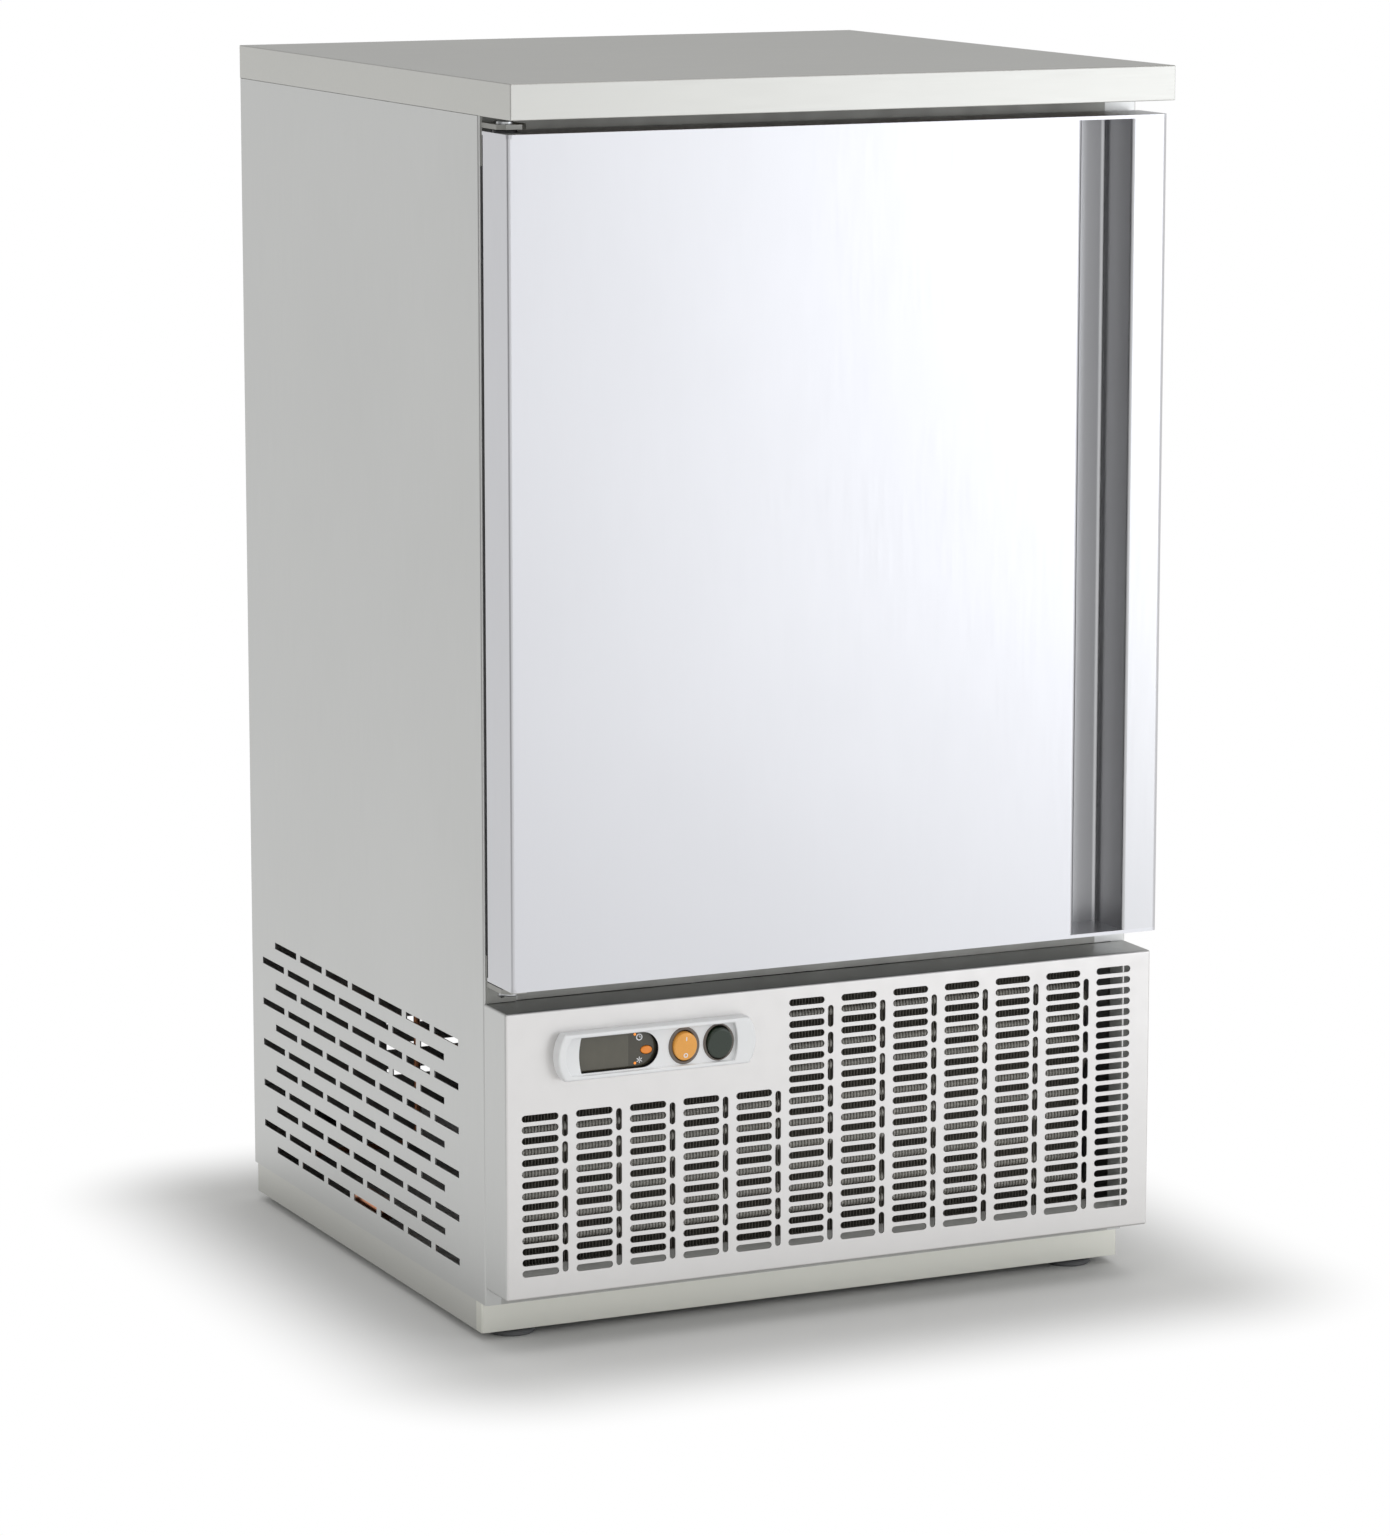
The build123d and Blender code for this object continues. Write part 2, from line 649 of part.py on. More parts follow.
CONTROL_X = LEFT + BEZEL_INSET
CONTROL_Z = GRILLE_TOP - BEZEL_DROP
FLOOR_PROUD = BEZEL_PROUD - POCKET_DEPTH
FLOOR_BACK = FLOOR_PROUD - BEZEL_WALL
LENS_LEFT = -BEZEL_LENGTH / 2 + LENS_INSET
LENS_END = LENS_LEFT + LENS_LENGTH
COLLAR_FACE = FLOOR_PROUD + COLLAR_PROUD


def facing(x, proud, z):
    """A plane that faces the front, so far proud of the grille's sheet."""
    return Plane(origin=(x, GRILLE_FRONT - proud, z), x_dir=(1, 0, 0), z_dir=(0, -1, 0))


def on_panel(outline, back, front, x=0.0, z=0.0):
    """An outline on the control panel, made solid between two heights over the grille."""
    return extrude(facing(CONTROL_X + x, back, CONTROL_Z + z) * outline, front - back)


def bowed(left, right, height, bulge_left, bulge_right):
    """Straight above and below, with ends that bow outwards."""
    half = height / 2
    edges = [Line((left, half), (right, half)),
             ThreePointArc((right, half), (right + bulge_right, 0), (right, -half)),
             Line((right, -half), (left, -half)),
             ThreePointArc((left, -half), (left - bulge_left, 0), (left, half))]
    return make_face(edges)


def lens_outline():
    """A bowed left end and a half-round right end."""
    return bowed(LENS_LEFT, LENS_END, LENS_HEIGHT, LENS_BULGE, LENS_HEIGHT / 2)


def control_bezel():
    pocket = bowed(-BEZEL_LENGTH / 2 + POCKET_INSET_LEFT, BEZEL_LENGTH / 2 - POCKET_INSET_RIGHT,
                   POCKET_HEIGHT, BEZEL_BULGE, POCKET_BULGE_RIGHT)
    half = BEZEL_LENGTH / 2
    bezel = on_panel(bowed(-half, half, BEZEL_HEIGHT, BEZEL_BULGE, BEZEL_BULGE), 0, BEZEL_PROUD)
    bezel -= on_panel(pocket, FLOOR_PROUD, BEZEL_PROUD)
    hollow = Rectangle(BEZEL_LENGTH - 2 * BEZEL_WALL, BEZEL_HEIGHT - 2 * BEZEL_WALL)
    bezel -= on_panel(hollow, 0, FLOOR_BACK)
    bezel -= on_panel(lens_outline(), 0, BEZEL_PROUD)
    for x in SWITCH_X.values():
        hole = oval(BARREL_WIDTH + 2 * BARREL_CLEAR, BARREL_HEIGHT + 2 * BARREL_CLEAR, OVAL_SIDES)
        bezel -= on_panel(hole, 0, BEZEL_PROUD, x)
    return bezel


def controller_edges():
    """The controller housing's left, right, and height on the panel."""
    left = LENS_LEFT - LENS_BULGE - BODY_MARGIN
    right = LENS_END + LENS_HEIGHT / 2 + BODY_MARGIN
    return left, right, BEZEL_HEIGHT - 2 * BEZEL_WALL - 2 * CUTOUT_CLEAR


def controller_body():
    """The housing whose front rim frames the window; a well takes the key's travel."""
    left, right, height = controller_edges()
    outline = Pos((left + right) / 2, 0) * Rectangle(right - left, height)
    body = on_panel(outline, -BODY_DEPTH, FLOOR_BACK)
    seat = Pos((left + right) / 2, 0) * Rectangle(right - left - 2 * BODY_MARGIN + 2 * LENS_CLEAR,
                                                  LENS_HEIGHT + 2 * LENS_CLEAR)
    body -= on_panel(seat, LENS_PROUD - LENS_THICK, FLOOR_BACK)
    return body - key_solid(KEY_CLEAR, 2 * KEY_TRAVEL)


def controller_lens():
    lens = on_panel(lens_outline(), LENS_PROUD - LENS_THICK, LENS_PROUD)
    return lens - key_solid(KEY_CLEAR, 0)


def key_solid(grow, deeper):
    face = LENS_PROUD + KEY_PROUD
    outline = oval(KEY_LENGTH + 2 * grow, KEY_HEIGHT + 2 * grow, ROUND_SIDES)
    return on_panel(outline, face - KEY_THICK - deeper, face, KEY_X, KEY_Z)


def control_cutouts():
    """Holes in the grille's sheet for the controller and the switches."""
    left, right, height = controller_edges()
    room = 2 * CUTOUT_CLEAR
    outline = Pos((left + right) / 2, 0) * Rectangle(right - left + room, height)
    holes = [on_panel(outline, -2 * SHEET, SHEET)]
    for x in SWITCH_X.values():
        hole = Rectangle(BARREL_WIDTH + room, BARREL_HEIGHT + room)
        holes.append(on_panel(hole, -2 * SHEET, SHEET, x))
    return holes


def switch_housing(name):
    """An oval collar on the pocket's floor and a barrel behind it, with the rocker's well."""
    x = SWITCH_X[name]
    well = oval(ROCKER_WIDTH[name] + 2 * ROCKER_SIDE_CLEAR, ROCKER_HEIGHT[name] + 2 * ROCKER_END_CLEAR,
                OVAL_SIDES)
    housing = on_panel(oval(COLLAR_WIDTH, COLLAR_HEIGHT, OVAL_SIDES), FLOOR_PROUD, COLLAR_FACE, x)
    barrel = oval(BARREL_WIDTH, BARREL_HEIGHT, OVAL_SIDES)
    housing += on_panel(barrel, FLOOR_PROUD - BARREL_DEPTH, FLOOR_PROUD, x)
    well_depth = ROCKER_THICK - ROCKER_PROUD + 2 * ROCKER_END_CLEAR
    return housing - on_panel(well, COLLAR_FACE - well_depth, COLLAR_FACE, x)


def rocker(name):
    """A rocker at rest with its lower end pressed."""
    x = CONTROL_X + SWITCH_X[name]
    y = GRILLE_FRONT - COLLAR_FACE - ROCKER_PROUD + ROCKER_THICK / 2
    outline = oval(ROCKER_WIDTH[name], ROCKER_HEIGHT[name], OVAL_SIDES)
    plane = Plane(origin=(0, ROCKER_THICK / 2, 0), x_dir=(1, 0, 0), z_dir=(0, -1, 0))
    return Pos(x, y, CONTROL_Z) * Rot(ROCKER_TILT, 0, 0) * extrude(plane * outline, ROCKER_THICK)


# Door: a folded skin and a folded grip round foam, between two end caps

PAN_BOTTOM = DOOR_BOTTOM + CAP_THICK
PAN_TOP = DOOR_TOP - CAP_THICK
DOOR_RIGHT = LEFT + DOOR_WIDTH
GRIP_LEFT = LEFT + RECESS_LEFT
GRIP_LIP = GRIP_LEFT + RECESS_WIDTH
HINGE = (LEFT + HINGE_X, DOOR_FRONT + HINGE_Y)


def upright(section, bottom=PAN_BOTTOM, top=PAN_TOP):
    return Pos(0, 0, bottom) * extrude(section, top - bottom)


def door_skin():
    points = [(LEFT + DOOR_RETURN, DOOR_BACK), (LEFT, DOOR_BACK), (LEFT, DOOR_FRONT),
              (GRIP_LEFT, DOOR_FRONT), (GRIP_LEFT, DOOR_FRONT + RECESS_SEAM)]
    return upright(folded_section(points, [BEND, DOOR_EDGE, DOOR_LIP_EDGE], SHEET))


def grip_points():
    floor = DOOR_FRONT + RECESS_DEPTH
    return [(GRIP_LEFT, DOOR_FRONT + RECESS_SEAM), (GRIP_LEFT, floor), (GRIP_LIP, floor),
            (GRIP_LIP, DOOR_FRONT), (DOOR_RIGHT, DOOR_FRONT), (DOOR_RIGHT, DOOR_BACK),
            (DOOR_RIGHT - DOOR_RETURN, DOOR_BACK)]


def door_grip():
    """One fold after another: recess wall, floor, lip's inner wall, lip, outer edge, return."""
    radii = [RECESS_CORNER, RECESS_CORNER, DOOR_EDGE, DOOR_LIP_EDGE, BEND]
    return upright(folded_section(grip_points(), radii, SHEET))


def door_outline():
    outline = Pos((LEFT + DOOR_RIGHT) / 2, (DOOR_FRONT + DOOR_BACK) / 2) * Rectangle(DOOR_WIDTH, DOOR_THICK)
    corners = outline.vertices().group_by(Axis.Y)[0].sort_by(Axis.X)
    outline = fillet(corners[0], DOOR_EDGE)
    corners = outline.vertices().group_by(Axis.Y)[0].sort_by(Axis.X)
    return fillet(corners[-1], DOOR_LIP_EDGE)


def door_cap(bottom):
    cap = upright(door_outline(), bottom, bottom + CAP_THICK)
    return cap - bore(*HINGE, bottom, BUSH_RADIUS + BUSH_SEAT_CLEAR, (0, 0, 1), CAP_THICK)


def door_foam():
    """Foam in the door's two hollows, joined behind the recess, and the plug's filling."""
    inner_back = DOOR_BACK - SHEET
    wall = SHEET
    z = (PAN_BOTTOM, PAN_TOP)
    main = block((LEFT + wall, GRIP_LEFT - wall), (DOOR_FRONT + wall, inner_back), z)
    main = chamfer(main.edges().filter_by(Axis.Z), DOOR_LIP_EDGE)
    lip = block((GRIP_LIP + wall, DOOR_RIGHT - wall), (DOOR_FRONT + wall, inner_back), z)
    lip = chamfer(lip.edges().filter_by(Axis.Z), DOOR_LIP_EDGE)
    behind = block((GRIP_LEFT - 2 * DOOR_RETURN, GRIP_LIP + DOOR_RETURN),
                   (DOOR_FRONT + RECESS_DEPTH + wall, inner_back), z)
    filling = main + lip + behind + plug(SHEET)
    return filling - bush_bores(BUSH_RADIUS + BUSH_SEAT_CLEAR)


def plug(wall):
    """The raised middle of the door's inner face, tapered on all sides."""
    x0, x1, z0, z1 = grown(CAVITY, -PLUG_INSET - wall)
    back = DOOR_BACK - SHEET
    plane = Plane(origin=((x0 + x1) / 2, back, (z0 + z1) / 2), x_dir=(1, 0, 0), z_dir=(0, 1, 0))
    return extrude(plane * Rectangle(x1 - x0, z1 - z0), PLUG_DEPTH + SHEET - wall, taper=PLUG_TAPER)


def door_liner():
    x = (LEFT + DOOR_RETURN, DOOR_RIGHT - DOOR_RETURN)
    sheet = block(x, (DOOR_BACK - SHEET, DOOR_BACK), (PAN_BOTTOM, PAN_TOP))
    return sheet + plug(0) - plug(SHEET)


def door_gasket():
    """A magnetic seal: a wide base held on the liner and a narrower bellows."""
    inner = grown(CAVITY, SEAL_LAP)
    outer = grown(inner, SEAL_WIDTH)
    base = rounded_ring(outer, inner, 0, 0, (DOOR_BACK, DOOR_BACK + SEAL_BASE))
    bellows = rounded_ring(grown(outer, -SEAL_SHOULDER), grown(inner, SEAL_SHOULDER), 0, 0,
                           (DOOR_BACK + SEAL_BASE, BODY_FRONT - SEAL_GAP))
    return base + bellows


def bush_bores(radius):
    return [bore(*HINGE, DOOR_BOTTOM, radius, (0, 0, 1), BUSH_LENGTH),
            bore(*HINGE, DOOR_TOP, radius, (0, 0, -1), BUSH_LENGTH)]


def door_bushes():
    """Flanged bushes in the end caps, at the hinge side."""
    bushes = []
    for z, up in ((DOOR_BOTTOM, 1), (DOOR_TOP, -1)):
        flange_z = z - up * BUSH_FLANGE_THICK
        bush = rod(*HINGE, z, BUSH_RADIUS, (0, 0, up), BUSH_LENGTH)
        bush += rod(*HINGE, flange_z, BUSH_FLANGE_RADIUS, (0, 0, up), BUSH_FLANGE_THICK)
        bush -= bore(*HINGE, flange_z, HINGE_PIN_RADIUS + HINGE_RUN_CLEAR, (0, 0, up),
                     BUSH_LENGTH + BUSH_FLANGE_THICK)
        bushes.append(bush.solid())
    return Compound(bushes)


BOTTOM_LEG_TOP = DOOR_BOTTOM - BUSH_FLANGE_THICK
TOP_LEG_BOTTOM = DOOR_TOP + BUSH_FLANGE_THICK + TOP_HINGE_CLEAR


def hinge_bracket(leg_bottom, plate_bottom):
    """A level leg over or under the door, on a plate screwed to the cabinet's front."""
    middle = HINGE[0] + BRACKET_OFFSET
    x = (middle - BRACKET_WIDTH / 2, middle + BRACKET_WIDTH / 2)
    leg = block(x, (HINGE[1] - BRACKET_MARGIN, BODY_FRONT), (leg_bottom, leg_bottom + BRACKET_THICK))
    leg = chamfer(leg.edges().filter_by(Axis.Z).group_by(Axis.Y)[0], BRACKET_MARGIN / 2)
    plate = block(x, (BODY_FRONT - BRACKET_PLATE, BODY_FRONT), (plate_bottom, plate_bottom + BRACKET_HEIGHT))
    running = HINGE_PIN_RADIUS + HINGE_RUN_CLEAR
    return leg + plate - bore(*HINGE, leg_bottom, running, (0, 0, 1), BRACKET_THICK)


def hinge_brackets():
    lower = hinge_bracket(BOTTOM_LEG_TOP - BRACKET_THICK, DECK_BOTTOM)
    upper = hinge_bracket(TOP_LEG_BOTTOM, BODY_TOP - BRACKET_HEIGHT)
    return Compound([lower.solid(), upper.solid()])


def hinge_pins():
    """Headed pins, one pushed up through the lower leg and one down through the upper."""
    pins = []
    for face, up in ((BOTTOM_LEG_TOP - BRACKET_THICK, 1), (TOP_LEG_BOTTOM + BRACKET_THICK, -1)):
        head_z = face - up * HINGE_HEAD_THICK
        pin = rod(*HINGE, head_z, HINGE_HEAD_RADIUS, (0, 0, up), HINGE_HEAD_THICK, sides=HEX_SIDES)
        pin += rod(*HINGE, face, HINGE_PIN_RADIUS, (0, 0, up), BRACKET_THICK + HINGE_PIN_REACH)
        pins.append(pin.solid())
    return Compound(pins)


# Cooling unit: condenser and fan behind the grille

CONDENSER_FRONT = BODY_FRONT + CONDENSER_SETBACK
CONDENSER_BACK = CONDENSER_FRONT + CONDENSER_DEPTH
CONDENSER_TOP = BASE_TOP + CONDENSER_HEIGHT
CONDENSER_EDGES = (LEFT + CONDENSER_INSET, RIGHT - CONDENSER_INSET)
FAN_Z = BASE_TOP + CONDENSER_HEIGHT / 2


def bar(start, along, corner, radius, length):
    """A six-sided bar with a corner of its section towards a direction."""
    return extrude(Plane(origin=start, x_dir=corner, z_dir=along) * RegularPolygon(radius, HEX_SIDES), length)


def flat_of(radius):
    """From the middle of a six-sided bar to its flat."""
    return radius * math.cos(math.pi / HEX_SIDES)


def spread(low, high, count):
    """Evenly spaced values from one end to the other."""
    return [low + (high - low) * number / (count - 1) for number in range(count)]


def fins(edges, y, z, count):
    """Upright plates, evenly spaced between two ends."""
    left, right = edges
    plate = FIN_THICK / 2
    return [block((x - plate, x + plate), y, z) for x in spread(left + plate, right - plate, count)]


def serpentine(edges, y, levels, radius):
    """Level tubes one over another, joined at alternate ends."""
    left, right = edges
    coil = None
    for number, z in enumerate(levels):
        tube = bar((left + 2 * radius, y, z), (1, 0, 0), (0, 0, 1), radius, right - left - 4 * radius)
        coil = tube if coil is None else coil + tube
        if number + 1 < len(levels):
            x = (right - 2 * radius, right) if number % 2 == 0 else (left, left + 2 * radius)
            link = block(x, (y - flat_of(radius), y + flat_of(radius)),
                         (z - flat_of(radius), levels[number + 1] + flat_of(radius)))
            coil += link
    return coil


def condenser_fins():
    edges = (CONDENSER_EDGES[0] + 2 * TUBE_RADIUS, CONDENSER_EDGES[1] - 2 * TUBE_RADIUS)
    return Compound(fins(edges, (CONDENSER_FRONT, CONDENSER_BACK), (BASE_TOP, CONDENSER_TOP), FIN_COUNT))


def condenser_tubes():
    return serpentine(CONDENSER_EDGES, TUBE_Y, TUBE_LEVELS, TUBE_RADIUS)


def condenser_hood():
    """A sheet behind the fins with a round duct for the fan."""
    sheet = block(CONDENSER_EDGES, (CONDENSER_BACK, CONDENSER_BACK + SHEET), (BASE_TOP, CONDENSER_TOP))
    duct = rod(0, CONDENSER_BACK, FAN_Z, HOOD_RADIUS + SHEET, (0, 1, 0), HOOD_DEPTH, DUCT_SIDES)
    hood = sheet + duct - rod(0, CONDENSER_BACK, FAN_Z, HOOD_RADIUS, (0, 1, 0), HOOD_DEPTH, DUCT_SIDES)
    return hood + fan_strut()


def fan_wheel(x, y, z, tip_radius, hub_radius, hub_length, shaft_end):
    """A hub with pitched blades, on the shaft that runs back into the motor."""
    hub = rod(x, y, z, hub_radius, (0, 1, 0), hub_length)
    hub += rod(x, y + hub_length, z, SHAFT_RADIUS, (0, 1, 0), shaft_end - y - hub_length, sides=STUD_SIDES)
    reach = tip_radius - hub_radius / 2
    blade = Box(FAN_BLADE_WIDTH * tip_radius / HOOD_RADIUS, FAN_BLADE_THICK, reach)
    blade = Pos(0, 0, tip_radius - reach / 2) * Rot(0, 0, FAN_PITCH) * blade
    for number in range(FAN_BLADES):
        turn = Rot(0, number * 360 / FAN_BLADES, 0)
        hub += Pos(x, y + hub_length / 2, z) * turn * blade
    return hub


CONDENSER_MOTOR_FRONT = CONDENSER_BACK + HOOD_DEPTH


def condenser_fan_blade():
    y = CONDENSER_MOTOR_FRONT - MOTOR_GAP - FAN_HUB_LENGTH - FAN_STAND_OFF
    return fan_wheel(0, y, FAN_Z, HOOD_RADIUS - FAN_TIP_GAP, FAN_HUB_RADIUS, FAN_HUB_LENGTH,
                     CONDENSER_MOTOR_FRONT + SHAFT_IN_MOTOR)


def motor(x, y, z, radius, length):
    """A round motor with a blind bore for the fan's shaft."""
    can = rod(x, y, z, radius, (0, 1, 0), length)
    return can - bore(x, y, z, SHAFT_RADIUS + SHAFT_CLEAR, (0, 1, 0), SHAFT_IN_MOTOR + MOTOR_GAP,
                      sides=STUD_SIDES)


def condenser_fan_motor():
    return motor(0, CONDENSER_MOTOR_FRONT + STRUT_THICK, FAN_Z, MOTOR_RADIUS, MOTOR_LENGTH)


def fan_strut():
    """A flat strut across the duct's mouth, which carries the motor."""
    y = (CONDENSER_MOTOR_FRONT, CONDENSER_MOTOR_FRONT + STRUT_THICK)
    half = HOOD_RADIUS + SHEET
    strut = block((-half, half), y, (FAN_Z - STRUT_WIDTH / 2, FAN_Z + STRUT_WIDTH / 2))
    return strut - bore(0, y[0], FAN_Z, SHAFT_RADIUS + 2 * SHAFT_CLEAR, (0, 1, 0), STRUT_THICK,
                        sides=STUD_SIDES)


# Cooling unit: compressor, pipes and the tray that the drain runs into

MOUNT_TOP = BASE_TOP + MOUNT_HEIGHT
CARRIER_TOP = MOUNT_TOP + CARRIER_THICK


def compressor():
    """A domed steel shell welded on a flat carrier."""
    shell = rod(0, 0, CARRIER_TOP, COMPRESSOR_RADIUS, (0, 0, 1), COMPRESSOR_HEIGHT, SHELL_SIDES)
    shell = chamfer(shell.faces().sort_by(Axis.Z)[-1].edges(), COMPRESSOR_DOME)
    shell = chamfer(shell.faces().sort_by(Axis.Z)[-1].edges(), COMPRESSOR_BEVEL)
    shell = chamfer(shell.faces().sort_by(Axis.Z)[0].edges(), COMPRESSOR_BEVEL)
    shell += block((-CARRIER_LENGTH / 2, CARRIER_LENGTH / 2), (-CARRIER_WIDTH / 2, CARRIER_WIDTH / 2),
                   (MOUNT_TOP, CARRIER_TOP))
    return Pos(COMPRESSOR_X, COMPRESSOR_Y, 0) * shell


def compressor_mounts():
    mounts = []
    for x in (-1, 1):
        for y in (-1, 1):
            place = (COMPRESSOR_X + x * (CARRIER_LENGTH / 2 - MOUNT_INSET),
                     COMPRESSOR_Y + y * (CARRIER_WIDTH / 2 - MOUNT_INSET))
            mounts.append(rod(*place, BASE_TOP, MOUNT_RADIUS, (0, 0, 1), MOUNT_HEIGHT, sides=STUD_SIDES))
    return Compound(mounts)


def relay_box():
    """The electrical box on the compressor's side, hollowed to fit the shell."""
    width, depth, height = RELAY_SIZE
    x = COMPRESSOR_X - COMPRESSOR_RADIUS
    z = CARRIER_TOP + RELAY_RISE
    box = block((x - width, x + RELAY_LAP),
                (COMPRESSOR_Y - depth / 2, COMPRESSOR_Y + depth / 2), (z, z + height))
    seat = COMPRESSOR_RADIUS + PIPE_GAP
    return box - rod(COMPRESSOR_X, COMPRESSOR_Y, z, seat, (0, 0, 1), height, SHELL_SIDES)


def pipe(points, radius):
    """A six-sided pipe along straight runs, each bend cut across."""
    corners = [Vector(point) for point in points]
    route = [corners[0]]
    for before, corner, after in zip(corners, corners[1:], corners[2:]):
        route.append(corner + (before - corner).normalized() * PIPE_BEND)
        route.append(corner + (after - corner).normalized() * PIPE_BEND)
    route.append(corners[-1])
    path = Polyline(*route)
    start = Plane(origin=path @ 0, z_dir=path % 0)
    return sweep(start * RegularPolygon(radius, HEX_SIDES), path=path, transition=Transition.RIGHT)


TUBE_LEVELS = spread(BASE_TOP + TUBE_MARGIN, CONDENSER_TOP - TUBE_MARGIN, TUBE_ROWS)
COIL_BOTTOM = COVER_BOTTOM + COIL_RISE
COIL_FRONT = CAVITY_BACK - COIL_DEPTH
COIL_LEVELS = spread(COIL_BOTTOM + COIL_MARGIN, COIL_BOTTOM + COIL_HEIGHT - COIL_MARGIN, COIL_ROWS)
TUBE_Y = CONDENSER_FRONT - flat_of(TUBE_RADIUS) - TUBE_SEAT
TUBE_END = CONDENSER_EDGES[0] + 2 * TUBE_RADIUS - PIPE_GAP
PIPE_X = LEFT + SHEET + PIPE_INSET


def suction_pipe():
    """From the evaporator's lowest tube down through the deck to the compressor's back."""
    entry = CARRIER_TOP + SUCTION_ENTRY
    return pipe([(SUCTION_X, COIL_FRONT + PIPE_GAP, COIL_LEVELS[0]), (SUCTION_X, LINE_Y, COIL_LEVELS[0]),
                 (SUCTION_X, LINE_Y, entry),
                 (SUCTION_X, COMPRESSOR_Y + COMPRESSOR_RADIUS + PIPE_GAP, entry)], SUCTION_RADIUS)


def discharge_pipe():
    """From the compressor's crown along the side panel to the condenser's top tube."""
    top = CARRIER_TOP + COMPRESSOR_HEIGHT
    level = TUBE_LEVELS[-1]
    return pipe([(COMPRESSOR_X, COMPRESSOR_Y, top + PIPE_GAP), (COMPRESSOR_X, COMPRESSOR_Y, level),
                 (PIPE_X, COMPRESSOR_Y, level), (PIPE_X, TUBE_Y, level), (TUBE_END, TUBE_Y, level)],
                DISCHARGE_RADIUS)


def filter_drier():
    start = DRIER_Y + PIPE_GAP
    return rod(PIPE_X, start, TUBE_LEVELS[0], DRIER_RADIUS, (0, 1, 0), DRIER_LENGTH, sides=ROUND_SIDES)


def liquid_pipe():
    """From the condenser's bottom tube to the drier, and on from it to the evaporator."""
    level = TUBE_LEVELS[0]
    route = [(TUBE_END, TUBE_Y, level), (PIPE_X, TUBE_Y, level), (PIPE_X, DRIER_Y, level)]
    before = pipe(route, LIQUID_RADIUS)
    after = pipe([(PIPE_X, DRIER_Y + DRIER_LENGTH + 2 * PIPE_GAP, level), (PIPE_X, LINE_Y, level),
                  (LIQUID_X, LINE_Y, level), (LIQUID_X, LINE_Y, COIL_LEVELS[-1]),
                  (LIQUID_X, COIL_FRONT + PIPE_GAP, COIL_LEVELS[-1])], LIQUID_RADIUS)
    return Compound([before.solid(), after.solid()])


def drain_pipe():
    """From the cavity's floor down into the evaporating tray."""
    y = CAVITY_BACK - DRAIN_INSET
    bottom = DECK_BOTTOM - DRAIN_BELOW
    length = CAVITY_BOTTOM - bottom
    outer = rod(0, y, bottom, DRAIN_RADIUS, (0, 0, 1), length, sides=STUD_SIDES)
    return outer - rod(0, y, bottom, DRAIN_RADIUS - DRAIN_WALL, (0, 0, 1), length, sides=STUD_SIDES)


def evaporating_tray():
    y = CAVITY_BACK - DRAIN_INSET
    across = (y - TRAY_WIDTH / 2, y + TRAY_WIDTH / 2)
    along = (TRAY_X - TRAY_LENGTH / 2, TRAY_X + TRAY_LENGTH / 2)
    tray = block(along, across, (BASE_TOP, BASE_TOP + TRAY_HEIGHT))
    inside = block((along[0] + TRAY_WALL, along[1] - TRAY_WALL),
                   (across[0] + TRAY_WALL, across[1] - TRAY_WALL),
                   (BASE_TOP + TRAY_WALL, BASE_TOP + TRAY_HEIGHT))
    return tray - inside


# Cold cavity: evaporator behind a cover with a fan

COIL_EDGES = (-COIL_WIDTH / 2, COIL_WIDTH / 2)
COVER_FRONT = CAVITY_BACK - COVER_DEPTH
COVER_Z = (COVER_BOTTOM, COVER_BOTTOM + COVER_HEIGHT)
COVER_FAN_Z = COVER_Z[1] - COVER_FAN_DROP
COVER_MOTOR_FRONT = CAVITY_BACK - COVER_MOTOR_LENGTH


def evaporator():
    """Upright plates and the tube that runs to and fro across them."""
    edges = (COIL_EDGES[0] + 2 * COIL_TUBE_RADIUS, COIL_EDGES[1] - 2 * COIL_TUBE_RADIUS)
    plates = fins(edges, (COIL_FRONT, CAVITY_BACK), (COIL_BOTTOM, COIL_BOTTOM + COIL_HEIGHT), COIL_FINS)
    tubes = serpentine(COIL_EDGES, COIL_FRONT - flat_of(COIL_TUBE_RADIUS) - TUBE_SEAT, COIL_LEVELS,
                       COIL_TUBE_RADIUS)
    return Compound([*plates, tubes.solid()])


def evaporator_cover():
    """A folded cover over the coil, open below, with the fan's mouth near its top."""
    half = COVER_WIDTH / 2
    cover = block((-half, half), (COVER_FRONT, CAVITY_BACK), COVER_Z)
    cover -= block((-half + SHEET, half - SHEET), (COVER_FRONT + SHEET, CAVITY_BACK),
                   (COVER_Z[0], COVER_Z[1] - SHEET))
    return cover - rod(0, COVER_FRONT, COVER_FAN_Z, COVER_FAN_RADIUS, (0, 1, 0), SHEET, DUCT_SIDES)


def evaporator_fan_motor():
    return motor(0, COVER_MOTOR_FRONT, COVER_FAN_Z, COVER_MOTOR_RADIUS, COVER_MOTOR_LENGTH)


def evaporator_fan_blade():
    y = COVER_MOTOR_FRONT - FAN_HUB_LENGTH - FAN_STAND_OFF
    return fan_wheel(0, y, COVER_FAN_Z, COVER_FAN_RADIUS - FAN_TIP_GAP, FAN_HUB_RADIUS, FAN_HUB_LENGTH,
                     COVER_MOTOR_FRONT + SHAFT_IN_MOTOR)


# Cold cavity: wire shelves on clips in four channels

CHANNEL_Y = (BODY_FRONT + CHANNEL_FRONT, BODY_FRONT + CHANNEL_FRONT + CHANNEL_SPACING)
CHANNEL_FACE = CAVITY_RIGHT - CHANNEL_DEPTH


def both_sides(solids):
    """The given solids and their mirror images on the cavity's other wall."""
    return Compound([*solids, *(mirror(solid, about=Plane.YZ) for solid in solids)])


